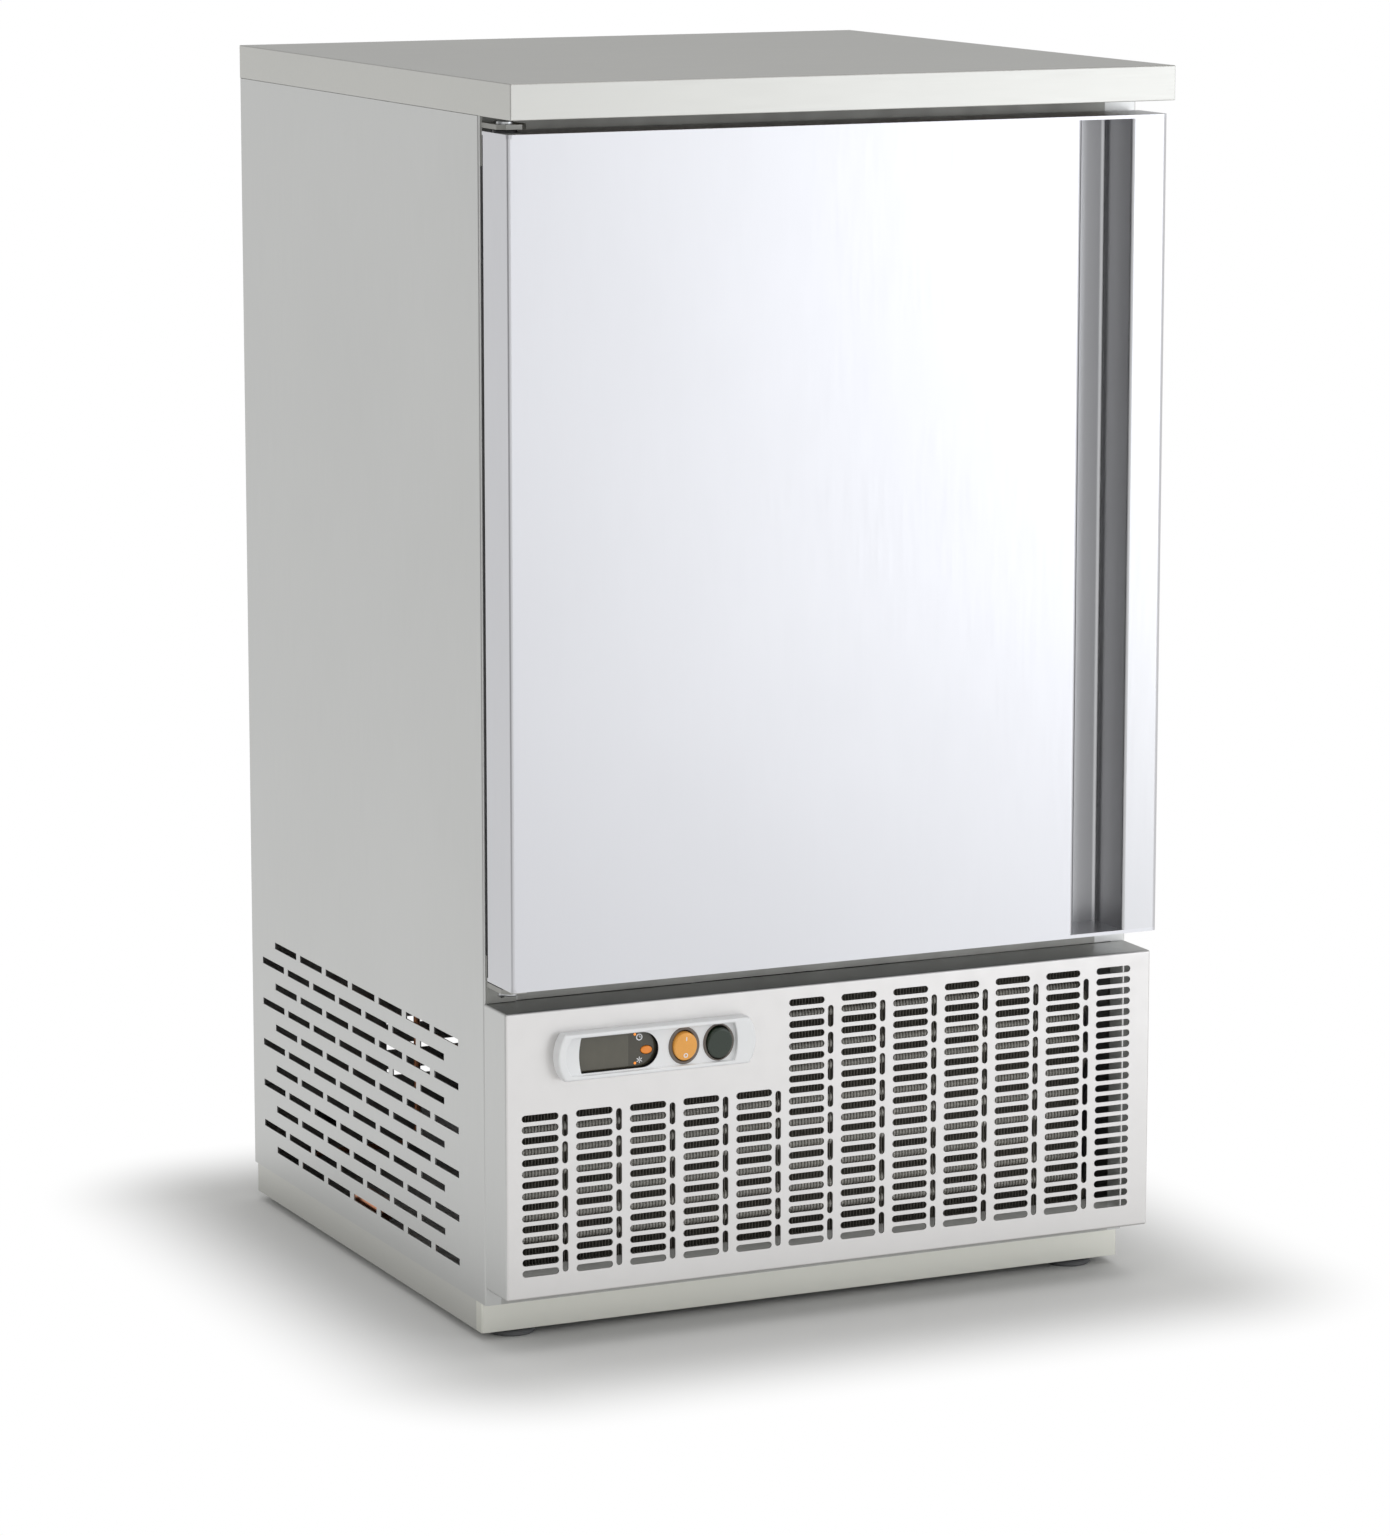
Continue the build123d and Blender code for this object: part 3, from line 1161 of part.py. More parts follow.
def shelf_channels():
    """Upright channels on the tub's side walls."""
    channels = []
    z = (CAVITY_BOTTOM + CHANNEL_MARGIN, CAVITY_TOP - CHANNEL_MARGIN)
    for y in CHANNEL_Y:
        half = CHANNEL_WIDTH / 2
        channel = block((CHANNEL_FACE, CAVITY_RIGHT), (y - half, y + half), z)
        half -= CHANNEL_WALL
        channel -= block((CHANNEL_FACE + CHANNEL_WALL, CAVITY_RIGHT), (y - half, y + half), z)
        channels.append(channel.solid())
    return channels


def shelf_clips():
    """Sloped clips hooked on the channels' faces."""
    clips = []
    for rise in SHELF_RISES:
        top = CAVITY_BOTTOM + rise
        for y in CHANNEL_Y:
            half = CHANNEL_WIDTH / 2
            clip = block((CHANNEL_FACE - CLIP_REACH, CHANNEL_FACE), (y - half, y + half),
                         (top - CLIP_HEIGHT, top))
            foot = clip.edges().filter_by(Axis.Y).group_by(Axis.Z)[0].sort_by(Axis.X)[0]
            clips.append(chamfer(foot, CLIP_CHAMFER).solid())
    return clips


def wire_shelf(rise):
    """Wires from front to back, welded on two bearers that rest on the clips."""
    reach = CHANNEL_FACE - SHELF_SIDE_GAP
    bearer_z = CAVITY_BOTTOM + rise + flat_of(SHELF_BEARER_RADIUS)
    wire_z = bearer_z + flat_of(SHELF_BEARER_RADIUS) + flat_of(SHELF_WIRE_RADIUS)
    front = BODY_FRONT + SHELF_FRONT
    bars = [bar((-reach, y, bearer_z), (1, 0, 0), (0, 1, 0), SHELF_BEARER_RADIUS, 2 * reach)
            for y in CHANNEL_Y]
    edge = reach - SHELF_WIRE_RADIUS
    for x in spread(-edge, edge, SHELF_WIRES):
        bars.append(bar((x, front, wire_z), (0, 1, 0), (1, 0, 0), SHELF_WIRE_RADIUS, SHELF_DEPTH))
    return Compound([solid for shape in bars for solid in shape.solids()])


# Every piece under its own name

pieces["worktop"] = worktop()
pieces["worktop_core"] = worktop_core()
pieces["side_panel_left"] = side_panel() - side_vents()
pieces["side_panel_right"] = mirror(side_panel(), about=Plane.YZ)
pieces["front_frame"] = front_frame()
pieces["breaker_strip"] = breaker_strip()
pieces["inner_liner"] = inner_liner()
pieces["insulation"] = insulation()
pieces["deck_sheet"] = deck_sheet()
pieces["roof_sheet"] = roof_sheet()
pieces["rear_panel"] = rear_panel()
pieces["rear_cover"] = rear_cover()
pieces["cable_gland"] = cable_gland()
pieces["base_plate"] = base_plate()
pieces["plinth_front"] = plinth_front()
pieces["plinth_skirts"] = plinth_skirts()
pieces["foot_inserts"] = foot_inserts()
for place, (x, y) in FOOT_PLACES.items():
    pieces["foot_" + place] = foot(x, y)
pieces["grille_panel"] = grille_panel()
pieces["control_bezel"] = control_bezel()
pieces["controller_body"] = controller_body()
pieces["controller_lens"] = controller_lens()
pieces["set_key"] = key_solid(0, 0)
for name in SWITCH_X:
    pieces[name + "_switch"] = switch_housing(name)
    pieces[name + "_rocker"] = rocker(name)
pieces["door_skin"] = door_skin()
pieces["door_grip"] = door_grip()
pieces["door_caps"] = Compound([door_cap(DOOR_BOTTOM).solid(), door_cap(PAN_TOP).solid()])
pieces["door_foam"] = door_foam()
pieces["door_liner"] = door_liner()
pieces["door_gasket"] = door_gasket()
pieces["door_bushes"] = door_bushes()
pieces["hinge_brackets"] = hinge_brackets()
pieces["hinge_pins"] = hinge_pins()
pieces["condenser_fins"] = condenser_fins()
pieces["condenser_tubes"] = condenser_tubes()
pieces["condenser_hood"] = condenser_hood()
pieces["condenser_fan_blade"] = condenser_fan_blade()
pieces["condenser_fan_motor"] = condenser_fan_motor()
pieces["compressor"] = compressor()
pieces["compressor_mounts"] = compressor_mounts()
pieces["relay_box"] = relay_box()
pieces["suction_pipe"] = suction_pipe()
pieces["discharge_pipe"] = discharge_pipe()
pieces["filter_drier"] = filter_drier()
pieces["liquid_pipe"] = liquid_pipe()
pieces["drain_pipe"] = drain_pipe()
pieces["evaporating_tray"] = evaporating_tray()
pieces["evaporator"] = evaporator()
pieces["evaporator_cover"] = evaporator_cover()
pieces["evaporator_fan_motor"] = evaporator_fan_motor()
pieces["evaporator_fan_blade"] = evaporator_fan_blade()
pieces["shelf_supports"] = both_sides([*shelf_channels(), *shelf_clips()])
pieces["wire_shelf_lower"] = wire_shelf(SHELF_RISES[0])
pieces["wire_shelf_upper"] = wire_shelf(SHELF_RISES[1])

for node, shape in pieces.items():
    export_step(shape, os.path.join("parts", node + ".step"))
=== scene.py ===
"""Looks of the glass froster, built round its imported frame: finishes, fine detail, stage and camera."""

import math

import bmesh
import bpy
from mathutils import Matrix, Vector


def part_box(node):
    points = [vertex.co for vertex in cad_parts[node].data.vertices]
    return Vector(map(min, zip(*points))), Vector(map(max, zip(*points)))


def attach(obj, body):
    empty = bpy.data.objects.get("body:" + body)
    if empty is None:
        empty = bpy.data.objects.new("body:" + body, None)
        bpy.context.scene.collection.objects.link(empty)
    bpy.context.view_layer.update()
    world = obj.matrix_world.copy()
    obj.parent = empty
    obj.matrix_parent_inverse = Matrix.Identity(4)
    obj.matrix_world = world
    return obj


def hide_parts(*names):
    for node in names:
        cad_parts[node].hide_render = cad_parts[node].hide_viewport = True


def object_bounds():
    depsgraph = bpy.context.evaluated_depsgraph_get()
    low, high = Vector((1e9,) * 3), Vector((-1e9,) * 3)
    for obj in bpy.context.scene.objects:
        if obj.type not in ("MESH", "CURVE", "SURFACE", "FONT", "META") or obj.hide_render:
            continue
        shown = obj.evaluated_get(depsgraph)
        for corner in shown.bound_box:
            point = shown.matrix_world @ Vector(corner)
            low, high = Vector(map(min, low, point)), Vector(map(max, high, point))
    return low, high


bl_info = {
    "name": "Glass Froster Looks",
    "version": (1, 0, 0),
    "blender": (4, 5, 0),
    "location": "View3D > Sidebar > Froster",
    "description": "Dresses the frame of an upright glass froster",
    "category": "Object",
}

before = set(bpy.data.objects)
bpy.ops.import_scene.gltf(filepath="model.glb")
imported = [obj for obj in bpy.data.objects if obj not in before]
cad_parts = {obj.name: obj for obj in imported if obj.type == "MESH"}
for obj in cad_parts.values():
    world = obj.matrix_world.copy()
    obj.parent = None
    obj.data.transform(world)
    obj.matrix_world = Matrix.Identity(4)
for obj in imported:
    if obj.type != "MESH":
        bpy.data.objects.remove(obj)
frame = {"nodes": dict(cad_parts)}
FRAME_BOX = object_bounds()

IMAGE_WIDTH = 1390
IMAGE_HEIGHT = 1536
CABINET = "cabinet"
DOOR = "door"
SMOOTH_ANGLE = math.radians(32)
FEET = ("foot_front_left", "foot_front_right", "foot_rear_left", "foot_rear_right")


def length(name, words, default):
    """A property that holds a real length in metres."""
    return bpy.props.FloatProperty(name=name, description=words, default=default, min=0.0,
                                   subtype="DISTANCE", unit="LENGTH", precision=4)


def colour(name, words, default):
    """A property that holds a linear colour."""
    return bpy.props.FloatVectorProperty(name=name, description=words, default=default, size=3,
                                         min=0.0, max=1.0, subtype="COLOR")


class FrosterSizes(bpy.types.PropertyGroup):
    """Sizes of the dressed pieces."""

    sheet: length("Sheet", "Thickness of the folded steel", 0.0012)
    bend: length("Bend", "Outside radius of a fold", 0.002)
    slot_length: length("Slot length", "Length of a level slot in the grille", 0.033)
    slot_height: length("Slot height", "Height of a level slot in the grille", 0.0059)
    upright_width: length("Upright slot width", "Width of an upright slot", 0.0052)
    upright_length: length("Upright slot length", "Length of an upright slot", 0.0188)
    column_pitch: length("Column pitch", "From one column of slots to the next", 0.0485)
    row_pitch: length("Row pitch", "From one level slot to the next", 0.009345)
    upright_pitch: length("Upright pitch", "From one upright slot to the next", 0.02293)
    fin_pitch: length("Fin pitch", "From one condenser fin to the next", 0.0029)
    wire: length("Shelf wire", "Radius of a shelf's wire", 0.0025)
    bearer: length("Shelf bearer", "Radius of a shelf's bearer", 0.004)
    screw: length("Screw head", "Radius of a screw's head", 0.004)


class FrosterColours(bpy.types.PropertyGroup):
    """Colours of the finishes."""

    # Painted light and shade: the sides, worktop, door and grip are one stainless steel, each given its own
    # lighter or darker tint for how its faces are lit; the side-panel steel also paints the grille's sideways
    # faces as painted shade.
    steel: colour("Steel", "Brushed steel of the cabinet's sides", (0.55, 0.555, 0.545))
    worktop: colour("Worktop", "Brushed steel of the worktop", (0.53, 0.53, 0.505))
    # Painted shade: the stainless front frame and the hinge brackets are made dark because they sit in the
    # shaded gaps round the door.
    frame: colour("Front frame", "Satin steel of the front frame and the hinge brackets", (0.34, 0.34, 0.32))
    door: colour("Door", "Brushed steel of the door", (0.585, 0.589, 0.610))
    grip: colour("Grip", "Brushed steel of the door's grip", (0.545, 0.548, 0.560))
    grille: colour("Grille", "Satin steel of the grille", (0.66, 0.65, 0.64))
    liner: colour("Liner", "Satin steel inside", (0.60, 0.61, 0.61))
    zinc: colour("Zinc", "Coated steel of the hidden sheets", (0.44, 0.44, 0.425))
    # Painted light and shade: the plinth's front and its skirts are one brushed steel, the front painted
    # lighter and the sides and back darker for how they are lit.
    plinth: colour("Plinth", "Brushed steel of the plinth's front", (0.74, 0.74, 0.68))
    skirt: colour("Skirt", "Brushed steel of the plinth's sides and back", (0.60, 0.60, 0.57))
    white: colour("White moulding", "Control bezel and printed marks", (0.93, 0.94, 0.95))
    window: colour("Window", "Smoked window", (0.060, 0.055, 0.037))
    display: colour("Display", "Display area of the window", (0.105, 0.098, 0.072))
    orange: colour("Orange", "Key and signal lamps", (0.90, 0.27, 0.02))
    amber: colour("Amber", "Power rocker", (0.88, 0.40, 0.07))
    green: colour("Green", "Defrost rocker", (0.007, 0.020, 0.009))
    collar: colour("Collar", "Switch collars", (0.165, 0.140, 0.120))
    black: colour("Black", "Dark plastic and enamel", (0.018, 0.018, 0.020))
    rubber: colour("Rubber", "Door gasket, feet and compressor mounts", (0.105, 0.108, 0.112))
    grey: colour("Grey plastic", "Breaker strip, drain and tray", (0.48, 0.49, 0.50))
    copper: colour("Copper", "Refrigerant pipes and filter drier", (0.58, 0.24, 0.12))
    aluminium: colour("Aluminium", "Evaporator, hinge pins and screws", (0.52, 0.53, 0.54))
    painted_fins: colour("Painted fins", "Fins of the condenser", (0.26, 0.245, 0.215))
    # Painted highlight: the condenser's straight tubes are made pale to stand for the light that they
    # reflect.
    pale_tube: colour("Pale tube", "Tubes of the condenser", (0.92, 0.90, 0.85))
    coated: colour("Coated wire", "Shelves and fan guard", (0.80, 0.80, 0.80))
    board: colour("Board", "Board under the worktop", (0.34, 0.22, 0.10))
    foam: colour("Foam", "Insulation of the cabinet and the door", (0.70, 0.60, 0.34))
    # Floor colour near the object: greyer than the white further off, so besides the real shadow it adds
    # painted shade round the object.
    floor: colour("Floor", "Studio floor", (0.80, 0.80, 0.795))


def sizes():
    """The sizes that the panel shows."""
    return bpy.context.scene.froster_sizes


def tint(name):
    """A colour of the panel, with full opacity."""
    return tuple(getattr(bpy.context.scene.froster_colours, name)) + (1.0,)


# Shader nodes

def connect(tree, node, inputs):
    """Links a node's inputs to sockets and sets the others to their values."""
    for place, value in inputs.items():
        if isinstance(value, bpy.types.NodeSocket):
            tree.links.new(value, node.inputs[place])
        else:
            node.inputs[place].default_value = value


def add_node(tree, kind, inputs, **settings):
    """A new shader node with its settings and its inputs."""
    node = tree.nodes.new(f"ShaderNode{kind}")
    for setting, value in settings.items():
        setattr(node, setting, value)
    connect(tree, node, inputs)
    return node


def worked_out(tree, operation, *values, kind="Math", output="Value"):
    """The outcome of a calculation on sockets or plain values."""
    return add_node(tree, kind, dict(enumerate(values)), operation=operation).outputs[output]


def ranged(tree, value, span, levels, smooth=False):
    """Goes from the first level to the second while a value goes through a span."""
    inputs = {"Value": value, "From Min": span[0], "From Max": span[1],
              "To Min": levels[0], "To Max": levels[1]}
    way = "SMOOTHSTEP" if smooth else "LINEAR"
    return add_node(tree, "MapRange", inputs, interpolation_type=way).outputs["Result"]


def coordinates(tree, kind="Object"):
    """The object's own coordinates, or another kind."""
    return add_node(tree, "TexCoord", {}).outputs[kind]


# Finishes

NOISE_SPAN = (0.3, 0.7)


class Finish:
    """A material under construction: its nodes, its shader and the ways to vary them."""

    def __init__(self, name, shade, roughness, metallic=0.0):
        self.material = bpy.data.materials.new(name)
        self.material.use_nodes = True
        self.tree = self.material.node_tree
        self.shader = self.tree.nodes["Principled BSDF"]
        self.base = tint(shade)
        self.roughness = roughness
        self.give({"Base Color": self.base, "Roughness": roughness, "Metallic": metallic})

    def give(self, inputs):
        """Sets or links inputs of the shader."""
        connect(self.tree, self.shader, inputs)

    def pattern(self, scale, stretch=(1, 1, 1), detail=3.0):
        """Noise on the object's own coordinates, stretched along its grain."""
        placed = add_node(self.tree, "Mapping", {"Vector": coordinates(self.tree), "Scale": stretch})
        inputs = {"Vector": placed.outputs["Vector"], "Scale": scale, "Detail": detail}
        return add_node(self.tree, "TexNoise", inputs).outputs["Fac"]

    def vary_roughness(self, pattern, spread):
        """Makes the surface glossier and duller by a pattern."""
        levels = (self.roughness - spread, self.roughness + spread)
        self.give({"Roughness": ranged(self.tree, pattern, NOISE_SPAN, levels)})

    def vary_colour(self, pattern, amount):
        """Darkens and lightens the base a little."""
        low = [max(channel * (1 - amount), 0.0) for channel in self.base[:3]]
        high = [min(channel * (1 + amount), 1.0) for channel in self.base[:3]]
        inputs = {"A": (*low, 1.0), "B": (*high, 1.0), "Factor": pattern}
        self.give({"Base Color": add_node(self.tree, "Mix", inputs, data_type="RGBA").outputs["Result"]})

    def relief(self, pattern, strength, depth):
        """Gives the surface a fine relief by a pattern."""
        inputs = {"Height": pattern, "Strength": strength, "Distance": depth}
        self.give({"Normal": add_node(self.tree, "Bump", inputs).outputs["Normal"]})


def brushed(name, shade, roughness, grain):
    """Steel with a fine grain along one direction and faint clouds from wiping."""
    finish = Finish(name, shade, roughness, metallic=1.0)
    lines = finish.pattern(scale=900.0, stretch=grain, detail=2.0)
    finish.vary_roughness(lines, spread=0.02)
    finish.vary_colour(finish.pattern(scale=3.5), amount=0.035)
    finish.relief(lines, strength=0.015, depth=0.0001)
    return finish.material


def satin(name, shade, roughness):
    """Rolled sheet without a grain, a little cloudy."""
    finish = Finish(name, shade, roughness, metallic=1.0)
    finish.vary_roughness(finish.pattern(scale=60.0), spread=0.04)
    finish.vary_colour(finish.pattern(scale=4.0), amount=0.03)
    return finish.material


def moulded(name, shade, roughness, relief=0.04):
    """Plastic, enamel or rubber with a fine texture."""
    finish = Finish(name, shade, roughness)
    skin = finish.pattern(scale=1400.0)
    finish.vary_roughness(skin, spread=0.04)
    finish.vary_colour(finish.pattern(scale=40.0), amount=0.03)
    finish.relief(skin, strength=relief, depth=0.00005)
    return finish.material


def zinced(name, shade):
    """Zinc coated sheet with its spangle."""
    finish = Finish(name, shade, 0.48, metallic=0.85)
    inputs = {"Vector": coordinates(finish.tree), "Scale": 90.0}
    spangle = add_node(finish.tree, "TexVoronoi", inputs).outputs["Distance"]
    finish.vary_roughness(spangle, spread=0.06)
    finish.vary_colour(spangle, amount=0.12)
    return finish.material


def smoked(name, shade):
    """A smoked window with faint wipe marks."""
    finish = Finish(name, shade, 0.16)
    finish.give({"Coat Weight": 0.4, "Coat Roughness": 0.08})
    finish.vary_roughness(finish.pattern(scale=30.0), spread=0.03)
    finish.vary_colour(finish.pattern(scale=120.0), amount=0.10)
    return finish.material


def lit(name, shade, glow):
    """A coloured part that light shines through."""
    finish = Finish(name, shade, 0.30)
    finish.give({"Emission Color": finish.base, "Emission Strength": glow})
    finish.give({"Coat Weight": 0.35, "Coat Roughness": 0.12})
    finish.vary_colour(finish.pattern(scale=160.0), amount=0.08)
    finish.vary_roughness(finish.pattern(scale=400.0), spread=0.03)
    return finish.material


ALONG_X = (0.02, 1.0, 1.0)
ALONG_Y = (1.0, 0.02, 1.0)
ALONG_Z = (1.0, 1.0, 0.02)


def make_finishes():
    """Every finish of the object, by name."""
    return {
        "worktop": brushed("brushed worktop", "worktop", 0.40, ALONG_X),
        "panel": brushed("brushed panel", "steel", 0.40, ALONG_Z),
        "frame": satin("satin frame", "frame", 0.50),
        "door": brushed("brushed door", "door", 0.36, ALONG_Z),
        "grip": brushed("brushed grip", "grip", 0.34, ALONG_Z),
        "grille": satin("satin grille", "grille", 0.42),
        "plinth": brushed("brushed plinth", "plinth", 0.44, ALONG_X),
        "skirt": brushed("brushed skirt", "skirt", 0.42, ALONG_Y),
        "liner": satin("satin liner", "liner", 0.38),
        "zinc": zinced("zinc sheet", "zinc"),
        "white": moulded("white moulding", "white", 0.34),
        "collar": moulded("collar plastic", "collar", 0.36),
        "black": moulded("black plastic", "black", 0.46),
        "enamel": moulded("black enamel", "black", 0.22, 0.02),
        "grey": moulded("grey plastic", "grey", 0.45),
        "rubber": moulded("gasket rubber", "rubber", 0.62, 0.10),
        "coated": moulded("coated wire", "coated", 0.30, 0.02),
        "window": smoked("smoked window", "window"),
        "orange": lit("orange plastic", "orange", 0.10),
        "green": lit("green plastic", "green", 0.0),
        "glyph": lit("lit symbol", "orange", 0.8),
        "mark": moulded("white mark", "white", 0.40, 0.02),
        "copper": satin("drawn copper", "copper", 0.34),
        "pin": satin("bright fixings", "aluminium", 0.30),
        "fins": satin("fin aluminium", "aluminium", 0.42),
        "dark_fins": moulded("painted fins", "painted_fins", 0.55),
        "pale_tube": moulded("pale tube", "pale_tube", 0.38),
        "amber": lit("amber plastic", "amber", 0.06),
        "display": smoked("display area", "display"),
        "board": moulded("raw board", "board", 0.75, 0.3),
        "foam": moulded("cut foam", "foam", 0.85, 0.4),
    }


FINISHES = {}

# The frame's nodes by the finish that they wear
WORN_BY = {
    "worktop": ("worktop",),
    "panel": ("side_panel_left", "side_panel_right"),
    # The frame finish is painted shade on the front frame and the hinge brackets.
    "frame": ("front_frame", "hinge_brackets"),
    "door": ("door_skin", "door_grip", "door_caps"),
    "grille": ("grille_panel",),
    "plinth": ("plinth_front",),
    "skirt": ("plinth_skirts",),
    "liner": ("inner_liner", "door_liner", "evaporator_cover", "shelf_supports"),
    "zinc": ("deck_sheet", "roof_sheet", "rear_panel", "rear_cover", "base_plate", "condenser_hood",
             "foot_inserts", "hinge_pins"),
    "grey": ("breaker_strip", "drain_pipe", "evaporating_tray"),
    "rubber": ("door_gasket", "compressor_mounts"),
    "black": ("cable_gland", "condenser_fan_blade", "evaporator_fan_blade", "relay_box", "controller_body",
              "door_bushes", *FEET),
    "enamel": ("compressor", "condenser_fan_motor", "evaporator_fan_motor"),
    "white": ("control_bezel",),
    "window": ("controller_lens",),
    "orange": ("set_key", "power_rocker"),
    "green": ("defrost_rocker",),
    "collar": ("power_switch", "defrost_switch"),
    "fins": ("condenser_fins", "evaporator"),
    "copper": ("condenser_tubes", "liquid_pipe", "discharge_pipe", "suction_pipe", "filter_drier"),
    "coated": ("wire_shelf_lower", "wire_shelf_upper"),
    "board": ("worktop_core",),
    "foam": ("insulation", "door_foam"),
}


class FROSTER_OT_finishes(bpy.types.Operator):
    """Make the finishes and give each node of the frame its own"""

    bl_idname = "froster.finishes"
    bl_label = "Finishes"

    def execute(self, context):
        FINISHES.update(make_finishes())
        worn = {node: finish for finish, nodes in WORN_BY.items() for node in nodes}
        missing = sorted(set(frame["nodes"]) - set(worn))
        if missing:
            raise RuntimeError(f"no finish is given for {missing}")
        for node, piece in frame["nodes"].items():
            material = FINISHES[worn[node]]
            if not piece.material_slots:
                piece.data.materials.append(material)
            for place in piece.material_slots:
                place.material = material
        return {"FINISHED"}


# Meshes

DOUBLES = 1e-6
SLIVERS = 1e-7


def finished(name, mesh, slot, finish, *stands_for, body=CABINET):
    """A mesh in its place becomes a named piece that rides on a body and stands for nodes of the frame."""
    mesh.name = name
    mesh.materials.clear()
    mesh.materials.append(FINISHES[finish])
    for face in mesh.polygons:
        face.use_smooth = True
    mesh.set_sharp_from_angle(angle=SMOOTH_ANGLE)
    piece = bpy.data.objects.new(name, mesh)
    bpy.context.scene.collection.objects.link(piece)
    piece.modifiers.new("flat faces stay flat", "WEIGHTED_NORMAL").keep_sharp = True
    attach(piece, body)
    if stands_for:
        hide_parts(*stands_for)
    return piece


def refinish(piece, finish, wanted):
    """Gives a second finish to the faces that are wanted."""
    piece.data.materials.append(FINISHES[finish])
    for face in piece.data.polygons:
        if wanted(face):
            face.material_index = 1


def mesh_of(shape):
    """Merges doubles, turns the faces outwards and hands over the mesh."""
    bmesh.ops.remove_doubles(shape, verts=shape.verts, dist=DOUBLES)
    bmesh.ops.recalc_face_normals(shape, faces=shape.faces)
    mesh = bpy.data.meshes.new("shape")
    shape.to_mesh(mesh)
    shape.free()
    return mesh


def joined(*meshes):
    """One mesh out of several, each a closed shape of its own."""
    shape = bmesh.new()
    for mesh in meshes:
        shape.from_mesh(mesh)
        bpy.data.meshes.remove(mesh)
    mesh = bpy.data.meshes.new("shape")
    shape.to_mesh(mesh)
    shape.free()
    return mesh


def middle_of(node):
    """The middle of a node's box."""
    low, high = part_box(node)
    return (low + high) / 2


def two_spans(node, axis):
    """The two groups that a node's solids form along an axis, each as its lowest and highest place."""
    places = sorted(corner.co[axis] for corner in frame["nodes"][node].data.vertices)
    middle = (places[0] + places[-1]) / 2
    below = [place for place in places if place < middle]
    above = [place for place in places if place > middle]
    return (below[0], below[-1]), (above[0], above[-1])


def cube_between(low, high):
    """A box between two corners, not yet a mesh."""
    shape = bmesh.new()
    bmesh.ops.create_cube(shape, size=1.0)
    low, high = Vector(low), Vector(high)
    bmesh.ops.scale(shape, vec=high - low, verts=shape.verts)
    bmesh.ops.translate(shape, vec=(low + high) / 2, verts=shape.verts)
    return shape


def rounded(shape, edges, radius, segments):
    """Rounds edges off."""
    bmesh.ops.bevel(shape, geom=edges, offset=radius, affect="EDGES", segments=segments, profile=0.5,
                    material=-1)


def block(low, high, edge=0.0, segments=2):
    """A box between two corners, its edges rounded."""
    shape = cube_between(low, high)
    if edge:
        rounded(shape, shape.edges[:], edge, segments)
    return mesh_of(shape)


def hexagon(radius, depth, edge):
    """A hexagon with rounded edges about the origin, its depth along Z."""
    shape = bmesh.new()
    bmesh.ops.create_cone(shape, cap_ends=True, segments=6, radius1=radius, radius2=radius, depth=depth)
    rounded(shape, shape.edges[:], edge, 2)
    return mesh_of(shape)


def scaled(profile, across, along):
    """A profile given in shares, at its real size."""
    return [(share * across, reach * along) for share, reach in profile]


def turned(profile, centre, axis=(0, 0, 1), steps=32):
    """A closed profile of (radius, height) spun round an axis through a centre."""
    shape = bmesh.new()
    corners = [shape.verts.new((radius, 0.0, height)) for radius, height in profile]
    edges = [shape.edges.new(pair) for pair in zip(corners, corners[1:])]
    bmesh.ops.spin(shape, geom=corners + edges, cent=(0, 0, 0), axis=(0, 0, 1), angle=2 * math.pi,
                   steps=steps, use_merge=True)
    turn = Vector((0, 0, 1)).rotation_difference(Vector(axis)).to_matrix()
    bmesh.ops.transform(shape, matrix=Matrix.Translation(centre) @ turn.to_4x4(), verts=shape.verts)
    bmesh.ops.remove_doubles(shape, verts=shape.verts, dist=DOUBLES)
    bmesh.ops.dissolve_degenerate(shape, edges=shape.edges[:], dist=SLIVERS)
    return mesh_of(shape)


def draw(curve, points, closed):
    """Adds straight runs through points of (x, y, z) to a curve."""
    spline = curve.splines.new("POLY")
    spline.points.add(len(points) - 1)
    for corner, point in zip(spline.points, points):
        corner.co = (*point, 1.0)
    spline.use_cyclic_u = closed


def mesh_from_curve(curve):
    """The mesh that a curve draws, its doubles merged."""
    holder = bpy.data.objects.new("holder", curve)
    bpy.context.scene.collection.objects.link(holder)
    bpy.context.view_layer.update()
    drawn = bpy.data.meshes.new_from_object(holder.evaluated_get(bpy.context.evaluated_depsgraph_get()))
    bpy.data.objects.remove(holder)
    bpy.data.curves.remove(curve)
    shape = bmesh.new()
    shape.from_mesh(drawn)
    bpy.data.meshes.remove(drawn)
    return mesh_of(shape)


def wire(points, radius, steps=10, closed=False):
    """A round wire or tube along straight and bent runs."""
    curve = bpy.data.curves.new("wire", "CURVE")
    curve.dimensions = "3D"
    curve.bevel_depth = radius
    curve.bevel_resolution = max(steps // 4, 1)
    curve.use_fill_caps = not closed
    draw(curve, points, closed)
    return mesh_from_curve(curve)


def plate(outlines, depths, edge=0.0, segments=2):
    """Outlines of (x, z), the first outside and the rest holes, made solid from a back to a front depth."""
    back, front = depths
    curve = bpy.data.curves.new("plate", "CURVE")
    curve.dimensions = "2D"
    curve.fill_mode = "BOTH"
    curve.extrude = (back - front) / 2 - edge
    curve.bevel_depth = edge
    curve.bevel_resolution = segments
    curve.offset = -edge
    for outline in outlines:
        draw(curve, [(x, z, 0.0) for x, z in outline], closed=True)
    mesh = mesh_from_curve(curve)
    mesh.transform(Matrix.Translation((0, (back + front) / 2, 0)) @ Matrix.Rotation(math.pi / 2, 4, "X"))
    return mesh


